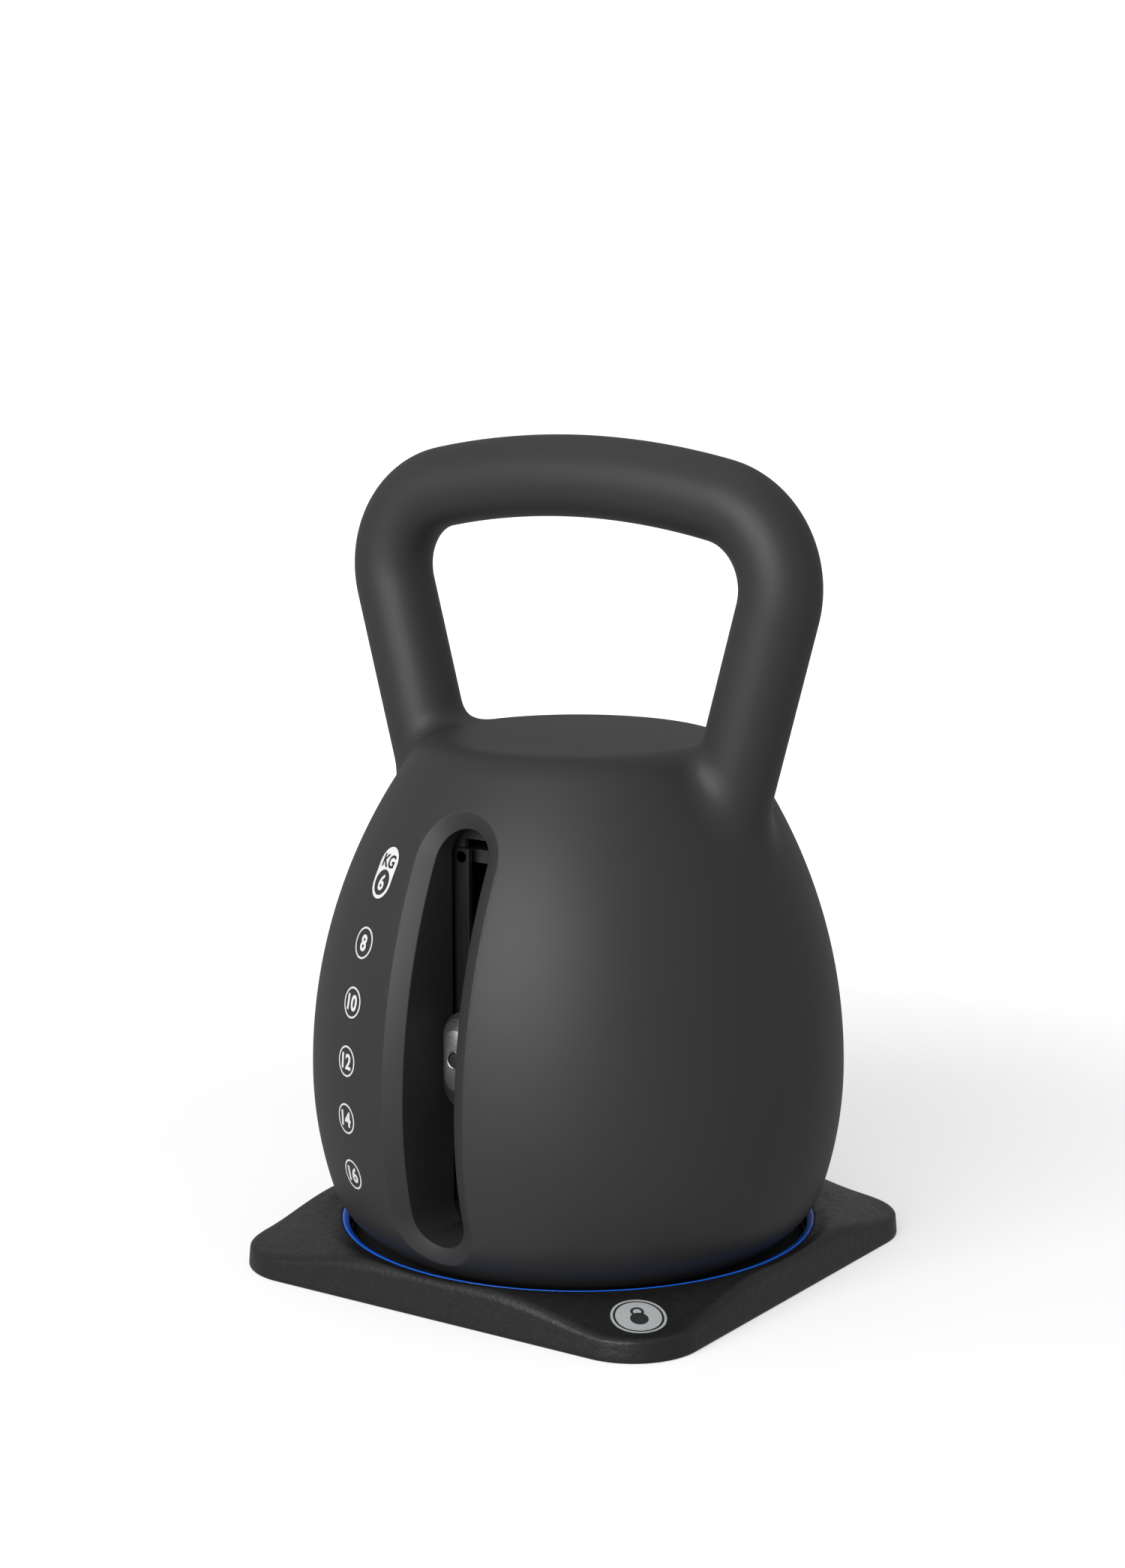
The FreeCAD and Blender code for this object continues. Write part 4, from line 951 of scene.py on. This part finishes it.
def lay_on_tray(name, rows_or_drawing, lift, thickness):
    """Lay a flat drawing on the sloping corner, its up side towards the tray's centre."""
    points, faces = rows_or_drawing
    right = Vector((1, 1, 0)).normalized()
    up = Vector((-1, 1, 0)).normalized()
    placed = []
    for x, y, _ in points:
        flat = Vector((BADGE_AT, -BADGE_AT, 0)) + right * x + up * y
        placed.append((flat.x, flat.y, tray_height_at(flat.x, flat.y) + lift))
    piece = new_piece(name, placed, faces)
    thick = piece.modifiers.new("sheet", "SOLIDIFY")
    thick.thickness = thickness
    thick.offset = 1.0
    baked(piece)
    outward(piece)
    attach(piece, "tray")
    return piece


def make_badge():
    radii = [BADGE_RADIUS * share for share in (0.02, 0.3, 0.6, 0.8, 0.9, 1.0)]
    plate = drawn([circle_row(r, steps=96) for r in reversed(radii)])
    base = lay_on_tray("badge_base", plate, -0.3 * MM, 0.45 * MM)
    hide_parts("tray_badge")
    rim = drawn([circle_row(r, steps=96) for r in (BADGE_RADIUS - 0.2 * MM, BADGE_RADIUS - 1.3 * MM)])
    disc_radii = (BADGE_RADIUS - 2.3 * MM, 8.0 * MM, 5.0 * MM, 2.0 * MM, 0.2 * MM)
    disc = drawn([circle_row(r, steps=96) for r in disc_radii])
    pale = lay_on_tray("badge_print", gather([(rim, 0, 0), (disc, 0, 0)]), 0.16 * MM, 0.08 * MM)
    bell_sign = drawn([circle_row(r, -1.6 * MM) for r in (4.0 * MM, 2.6 * MM, 1.2 * MM, 0.1 * MM)])
    grip_sign = drawn([circle_row(r, 3.2 * MM) for r in (3.0 * MM, 1.8 * MM)])
    sign = lay_on_tray("badge_sign", gather([(bell_sign, 0, 0), (grip_sign, 0, 0)]), 0.25 * MM, 0.06 * MM)
    return base, pale, sign


badge_base, badge_print, badge_sign = make_badge()
print("badge at", round(BADGE_AT / MM, 1), "mm right and front")

# %% [markdown]
# ## The selector and the rails
# A small metal plate with round ends and a broad bevel round its front slides in the slot, with a push
# button in its middle inside a bright rim. Behind it two flat dark rails run up the back wall. Their
# bevelled edges are given a bright metal finish as a painted highlight, for the thin light lines along them.

# %% Selector plate, rim and button
KNOB_HALF = knob_high[0]
KNOB_FRONT = knob_low[1]
KNOB_BACK = knob_high[1]
KNOB_LOW = knob_low[2]
KNOB_HIGH = knob_high[2]
KNOB_MIDDLE = (KNOB_LOW + KNOB_HIGH) / 2
BUTTON_RADIUS = button_high[0]

# the bevel's section, in millimetres: inwards from the outline, and back from the front
KNOB_BEVEL = ((0.0, 5.4), (0.08, 5.05), (0.3, 4.7), (4.2, 0.6), (4.5, 0.2), (4.8, 0.0))


def knob_row(inset, y):
    """The plate's outline moved inwards, one point on each ray from its middle."""
    half = KNOB_HALF - inset
    rise = (KNOB_HIGH - KNOB_LOW) / 2 - inset - half
    row = []
    for s in range(128):
        angle = 2 * math.pi * s / 128
        way = (math.cos(angle), math.sin(angle))
        reach = half / max(abs(way[0]), 1e-9)
        if reach * abs(way[1]) > rise:
            reach = rise * abs(way[1]) + math.sqrt(half ** 2 - (rise * way[0]) ** 2)
        row.append((way[0] * reach, y, KNOB_MIDDLE + way[1] * reach))
    return row


def hole_row(radius, y, steps=128):
    angles = [2 * math.pi * s / steps for s in range(steps)]
    return [(radius * math.cos(a), y, KNOB_MIDDLE + radius * math.sin(a)) for a in angles]


def make_knob():
    rim = BUTTON_RADIUS + 1.12 * MM
    rows = [hole_row(BUTTON_RADIUS + 0.3 * MM, KNOB_BACK), knob_row(0.3 * MM, KNOB_BACK),
            knob_row(0.0, KNOB_BACK - 0.3 * MM)]
    rows += [knob_row(inset * MM, KNOB_FRONT + depth * MM) for inset, depth in KNOB_BEVEL]
    rows += [hole_row(rim, KNOB_FRONT + 0.05 * MM), hole_row(rim, KNOB_FRONT + 0.9 * MM),
             hole_row(BUTTON_RADIUS + 0.3 * MM, KNOB_FRONT + 0.9 * MM)]
    points, faces = skin(rows + [rows[0]])
    knob = new_piece("selector_grip", points, faces)
    welded(knob)
    smooth(knob, 50)
    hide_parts("selector_knob")
    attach(knob, "selector")
    return knob


def make_rim():
    inner = BUTTON_RADIUS + 0.3 * MM
    outer = BUTTON_RADIUS + 1.08 * MM
    middle = (inner + outer) / 2
    half = (outer - inner) / 2
    rows = [hole_row(middle + half * math.cos(a), KNOB_FRONT + 0.4 * MM - 0.45 * MM * math.sin(a), 96)
            for a in np.linspace(0, 2 * math.pi, 17)]
    rim = new_piece("button_rim", *skin(rows))
    welded(rim)
    smooth(rim, 60)
    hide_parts("button_bezel")
    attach(rim, "selector")
    return rim


def make_button():
    front = button_low[1]
    cap_back = KNOB_BACK - 1.8 * MM
    stem = 1.6 * MM
    profile = [(0.1 * MM, front), (1.4 * MM, front + 0.04 * MM), (2.4 * MM, front + 0.16 * MM)]
    soft = 0.45 * MM
    profile += [(BUTTON_RADIUS - 0.5 * MM + soft * math.sin(a), front + 0.7 * MM - soft * math.cos(a))
                for a in np.linspace(0.3, math.pi / 2, 5)]
    profile += [(BUTTON_RADIUS - 0.05 * MM, cap_back), (stem, cap_back), (stem, button_high[1] - 0.4 * MM),
                (stem - 0.4 * MM, button_high[1]), (0.1 * MM, button_high[1])]
    rows = [hole_row(radius, y, 64) for radius, y in profile]
    button = outward(new_piece("push_button", *capped(rows)))
    smooth(button, 40)
    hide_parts("release_button")
    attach(button, "button")
    return button


selector_grip = make_knob()
button_rim = make_rim()
push_button = make_button()
print("selector at", round(KNOB_MIDDLE / MM, 1), "mm")


# %% Rails
def make_rail(name, node):
    low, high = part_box(node)
    rail = block(name, low, high)
    edge = rail.modifiers.new("edge", "BEVEL")
    edge.width = 0.45 * MM
    edge.segments = 3
    # the bevelled edges take the second finish, bright metal on a dark steel strip: a painted highlight for
    # the light lines along each rail
    edge.material = 1
    baked(rail)
    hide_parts(node)
    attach(rail, "bell")
    return rail


rails = [make_rail("rail_left", "guide_rail_left"), make_rail("rail_right", "guide_rail_right")]
print("rails:", [len(r.data.polygons) for r in rails])

# %% [markdown]
# ## Springs
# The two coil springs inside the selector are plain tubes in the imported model. A spiral swept with a
# round wire is the textbook use of Geometry Nodes, so one tree winds both, and the mesh is then turned
# onto its axis.

# %% Wind the springs
def make_spring_tree():
    tree = Tree("wound_spring", Radius=0.003, Length=0.01, Turns=8.0, Wire=0.0004)
    spiral = tree.node("GeometryNodeCurveSpiral", Resolution=20, Rotations=tree.input("Turns"),
                       Start_Radius=tree.input("Radius"), End_Radius=tree.input("Radius"),
                       Height=tree.input("Length"))
    wire = tree.node("GeometryNodeCurvePrimitiveCircle", Resolution=10, Radius=tree.input("Wire"))
    swept = tree.node("GeometryNodeCurveToMesh", i0=spiral, Profile_Curve=wire.outputs[0])
    swept.inputs["Fill Caps"].default_value = True
    return tree.finish(swept)


spring_tree = make_spring_tree()


def make_spring(name, node, along, turns, wire):
    """A coil that fills the node's box; along is the axis number it runs on."""
    low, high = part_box(node)
    side = (along + 1) % 3
    radius = (high[side] - low[side]) / 2 - wire
    long = high[along] - low[along] - 2 * wire
    spring = new_piece(name, [(0, 0, 0)], [])
    spring_tree.apply(spring, Radius=radius, Length=long, Turns=turns, Wire=wire)
    turn = Matrix.Rotation(-math.pi / 2, 4, "X") if along == 1 else Matrix.Rotation(math.pi / 2, 4, "Y")
    start = [(a + b) / 2 for a, b in zip(low, high)]
    start[along] = low[along] + wire
    spring.data.transform(Matrix.Translation(start) @ turn)
    outward(spring)
    smooth(spring, 60)
    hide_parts(node)
    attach(spring, "selector")
    return spring


springs = [make_spring("button_coil", "button_spring", 1, 6.0, 0.3 * MM),
           make_spring("detent_coil", "detent_spring", 0, 5.0, 0.25 * MM)]
print("springs:", [len(s.data.polygons) for s in springs])

# %% [markdown]
# ## Finishes
# Shader maths reads best as expressions, so a small class wraps a socket and adds a Math node for each
# operator. Every finish varies a little: soft-touch coating has a fine tooth and faint marks, moulded
# plastic has a pebbled grain, metal has brushed lines.

# %% Shader expressions
class Value:
    """A socket that can be added to, multiplied and so on."""

    def __init__(self, finish, socket):
        self.finish = finish
        self.socket = socket

    def _math(self, operation, first, second):
        node = self.finish.node("ShaderNodeMath", {"operation": operation}, i0=first, i1=second)
        return Value(self.finish, node.outputs[0])

    def __add__(self, other):
        return self._math("ADD", self, other)

    def __sub__(self, other):
        return self._math("SUBTRACT", self, other)

    def __rsub__(self, other):
        return self._math("SUBTRACT", other, self)

    def __mul__(self, other):
        return self._math("MULTIPLY", self, other)

    __radd__ = __add__
    __rmul__ = __mul__


class Finish:
    """A material with a Principled shader whose plain sockets are set directly."""

    def __init__(self, name, colour, roughness, metallic=0.0, **fixed):
        self.material = bpy.data.materials.new(name)
        self.material.use_nodes = True
        self.tree = self.material.node_tree
        self.shader = self.tree.nodes["Principled BSDF"]
        self.colour = (*colour, 1.0)
        self.shader.inputs["Base Color"].default_value = self.colour
        self.shader.inputs["Roughness"].default_value = roughness
        self.shader.inputs["Metallic"].default_value = metallic
        for label, value in fixed.items():
            self.shader.inputs[label.replace("_", " ")].default_value = value
        self.material.diffuse_color = self.colour
        self.place = self.node("ShaderNodeTexCoord").outputs["Object"]

    def node(self, kind, settings=None, **values):
        """One node: its settings first, then its sockets by number (i0) or by name."""
        node = self.tree.nodes.new(kind)
        for key, value in (settings or {}).items():
            setattr(node, key, value)
        for key, value in values.items():
            self.link(value, socket_of(node, key))
        return node

    def link(self, value, socket):
        if isinstance(value, Value):
            value = value.socket
        if isinstance(value, bpy.types.NodeSocket):
            self.tree.links.new(value, socket)
        else:
            socket.default_value = value

    def noise(self, scale, detail=3.0, place=None):
        node = self.node("ShaderNodeTexNoise", Vector=place or self.place, Scale=scale, Detail=detail)
        return Value(self, node.outputs["Fac"])

    def cells(self, scale, feature="F1", place=None):
        node = self.node("ShaderNodeTexVoronoi", {"feature": feature}, Vector=place or self.place,
                         Scale=scale)
        return Value(self, node.outputs["Distance"])

    def stretched(self, x, y, z):
        """Object coordinates scaled along each axis, for brushed lines."""
        return self.node("ShaderNodeMapping", Vector=self.place, Scale=(x, y, z)).outputs[0]

    def spread(self, value, low, high):
        """The value from 0.3 to 0.7, where noise mostly lies, spread from low to high."""
        node = self.node("ShaderNodeMapRange", Value=value, From_Min=0.3, From_Max=0.7, To_Min=low,
                         To_Max=high)
        return Value(self, node.outputs[0])

    def shade(self, value, darker, lighter):
        """Base colour between two multiples of the finish's colour."""
        ends = [tuple(c * k for c in self.colour[:3]) + (1.0,) for k in (darker, lighter)]
        mix = self.node("ShaderNodeMix", {"data_type": "RGBA"}, Factor=value)
        mix.inputs[6].default_value = ends[0]
        mix.inputs[7].default_value = ends[1]
        self.tree.links.new(mix.outputs[2], self.shader.inputs["Base Color"])

    def roughness(self, value):
        self.link(value, self.shader.inputs["Roughness"])

    def bump(self, height, distance, strength=1.0):
        node = self.node("ShaderNodeBump", Height=height, Distance=distance, Strength=strength)
        self.link(node.outputs[0], self.shader.inputs["Normal"])


# %% Plastics and rubber
def soft_touch():
    finish = Finish("soft_touch_charcoal", (0.033, 0.033, 0.034), 0.5, Specular_IOR_Level=0.42)
    broad = finish.noise(9.0, 4.0)
    fine = finish.noise(900.0, 2.0)
    finish.shade(finish.spread(broad, 0.0, 1.0), 0.94, 1.06)
    finish.roughness(finish.spread(broad, 0.47, 0.53) + (fine - 0.5) * 0.06)
    finish.bump(fine, 0.00002, 0.5)
    return finish.material


def grained_plastic():
    finish = Finish("pebbled_black", (0.012, 0.012, 0.013), 0.42, Specular_IOR_Level=0.5)
    warp = finish.noise(160.0, 3.0)
    pebbles = finish.cells(620.0)
    wander = finish.noise(300.0, 4.0)
    finish.shade(finish.spread(warp, 0.0, 1.0), 0.9, 1.1)
    finish.roughness(finish.spread(wander, 0.38, 0.5))
    finish.bump(pebbles * 0.5 + wander, 0.00035, 0.55)
    return finish.material


def inner_plastic():
    finish = Finish("inner_black", (0.014, 0.014, 0.015), 0.55)
    grain = finish.noise(700.0, 3.0)
    finish.shade(finish.spread(finish.noise(30.0), 0.0, 1.0), 0.85, 1.15)
    finish.bump(grain, 0.00005, 0.4)
    return finish.material


def blue_plastic():
    finish = Finish("vivid_blue", (0.002, 0.17, 1.0), 0.3, Coat_Weight=0.3)
    flow = finish.noise(60.0, 3.0)
    finish.shade(finish.spread(flow, 0.0, 1.0), 0.95, 1.05)
    finish.roughness(finish.spread(flow, 0.26, 0.36))
    finish.bump(finish.noise(1500.0), 0.00001, 0.3)
    return finish.material


def dull_rubber():
    finish = Finish("dull_rubber", (0.02, 0.02, 0.02), 0.8)
    dust = finish.noise(250.0, 5.0)
    finish.shade(finish.spread(dust, 0.0, 1.0), 0.8, 1.3)
    finish.bump(dust, 0.0001, 0.4)
    return finish.material


def button_rubber():
    finish = Finish("knurled_rubber", (0.012, 0.012, 0.012), 0.6)
    dots = finish.cells(1500.0)
    finish.shade(dots, 1.6, 0.7)
    finish.bump(1.0 - dots, 0.0002, 0.7)
    return finish.material


def printed_ink(name, colour, roughness, tooth_scale, darker, lighter):
    finish = Finish(name, colour, roughness)
    tooth = finish.noise(tooth_scale)
    finish.shade(finish.spread(tooth, 0.0, 1.0), darker, lighter)
    finish.bump(tooth, 0.00001, 0.3)
    return finish.material


# %% Metals and castings
def satin_metal():
    finish = Finish("satin_metal", (0.3, 0.305, 0.31), 0.42, 0.85)
    lines = finish.noise(1.0, 3.0, finish.stretched(300.0, 300.0, 2500.0))
    finish.shade(finish.spread(lines, 0.0, 1.0), 0.92, 1.08)
    finish.roughness(finish.spread(lines, 0.33, 0.45))
    finish.bump(lines, 0.00002, 0.4)
    return finish.material


def bright_metal():
    finish = Finish("bright_metal", (0.62, 0.62, 0.64), 0.24, 1.0)
    haze = finish.noise(400.0)
    finish.roughness(finish.spread(haze, 0.2, 0.3))
    finish.shade(finish.spread(haze, 0.0, 1.0), 0.97, 1.0)
    return finish.material


def dark_steel():
    finish = Finish("dark_steel", (0.1, 0.1, 0.105), 0.45, 0.9)
    spangle = finish.cells(180.0)
    finish.shade(spangle, 0.85, 1.15)
    finish.roughness(finish.spread(finish.noise(90.0), 0.28, 0.45))
    finish.bump(finish.noise(1200.0), 0.00002, 0.4)
    return finish.material


def dark_rail():
    finish = Finish("dark_rail", (0.03, 0.03, 0.033), 0.42, 0.6)
    lines = finish.noise(1.0, 3.0, finish.stretched(2500.0, 2500.0, 40.0))
    finish.shade(finish.spread(lines, 0.0, 1.0), 0.8, 1.2)
    finish.roughness(finish.spread(lines, 0.36, 0.5))
    finish.bump(lines, 0.00002, 0.4)
    return finish.material


def cast_iron():
    finish = Finish("painted_casting", (0.022, 0.022, 0.023), 0.55)
    sand = finish.noise(260.0, 6.0)
    finish.shade(finish.spread(sand, 0.0, 1.0), 0.75, 1.35)
    finish.roughness(finish.spread(sand, 0.45, 0.65))
    finish.bump(sand, 0.0004, 0.5)
    return finish.material


def cast_filler():
    finish = Finish("cast_filler", (0.2, 0.195, 0.185), 0.85)
    specks = finish.cells(420.0)
    finish.shade(specks, 0.7, 1.3)
    finish.bump(finish.noise(200.0, 6.0), 0.0005, 0.6)
    return finish.material


def glowing_floor():
    """The glow grows with distance, so that the floor and the room behind it are one white."""
    finish = Finish("pale_floor", (0.75, 0.75, 0.75), 0.9, Specular_IOR_Level=0.0, Emission_Strength=1.0)
    reach = finish.node("ShaderNodeVectorMath", {"operation": "LENGTH"}, i0=finish.place).outputs[1]
    far = finish.node("ShaderNodeMapRange", {"interpolation_type": "SMOOTHSTEP"}, Value=reach, From_Min=0.25,
                      From_Max=1.1, To_Min=0.5, To_Max=1.0)
    glow = finish.node("ShaderNodeCombineColor", i0=far.outputs[0], i1=far.outputs[0], i2=far.outputs[0])
    finish.link(glow.outputs[0], finish.shader.inputs["Emission Color"])
    finish.shade(finish.spread(finish.noise(3.0), 0.0, 1.0), 0.997, 1.003)
    return finish.material


finishes = {
    "shell_plastic": soft_touch(),
    "tray_plastic": grained_plastic(),
    "inner_plastic": inner_plastic(),
    "accent_blue": blue_plastic(),
    "rubber": dull_rubber(),
    "badge_metal": inner_plastic(),
    "steel": dark_steel(),
    "knob_metal": satin_metal(),
    "bright_metal": bright_metal(),
    "button_black": button_rubber(),
    "iron": cast_iron(),
    "filler": cast_filler(),
}
print("finishes:", len(finishes))

# %% [markdown]
# ## Dress every piece
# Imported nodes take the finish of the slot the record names, and the new pieces are given theirs by
# hand.

# %% Give each piece its finish
def dress(piece, *materials):
    piece.data.materials.clear()
    for material in materials:
        piece.data.materials.append(material)


for part in frame["record"]["subparts"]:
    dress(frame["nodes"][part["node"]], finishes[part["material_slot"]])
dress(bell_skin, finishes["shell_plastic"])
dress(tray_body, finishes["tray_plastic"])
dress(blue_ring, finishes["accent_blue"])
dark_ink = printed_ink("dark_ink", (0.03, 0.03, 0.032), 0.5, 900.0, 0.9, 1.1)
dress(weight_marks, printed_ink("white_ink", (0.86, 0.87, 0.87), 0.5, 900.0, 0.97, 1.02))
dress(unit_mark, dark_ink)
dress(badge_base, finishes["badge_metal"])
dress(badge_print, printed_ink("pale_print", (0.52, 0.54, 0.55), 0.45, 800.0, 0.95, 1.05))
dress(badge_sign, dark_ink)
dress(selector_grip, finishes["knob_metal"])
dress(button_rim, finishes["bright_metal"])
dress(push_button, finishes["button_black"])
rail_face = dark_rail()
for rail in rails:
    # dark rail face, with bright metal on the bevelled edges as a painted highlight
    dress(rail, rail_face, finishes["bright_metal"])
for spring in springs:
    dress(spring, finishes["steel"])
dress(floor, glowing_floor())
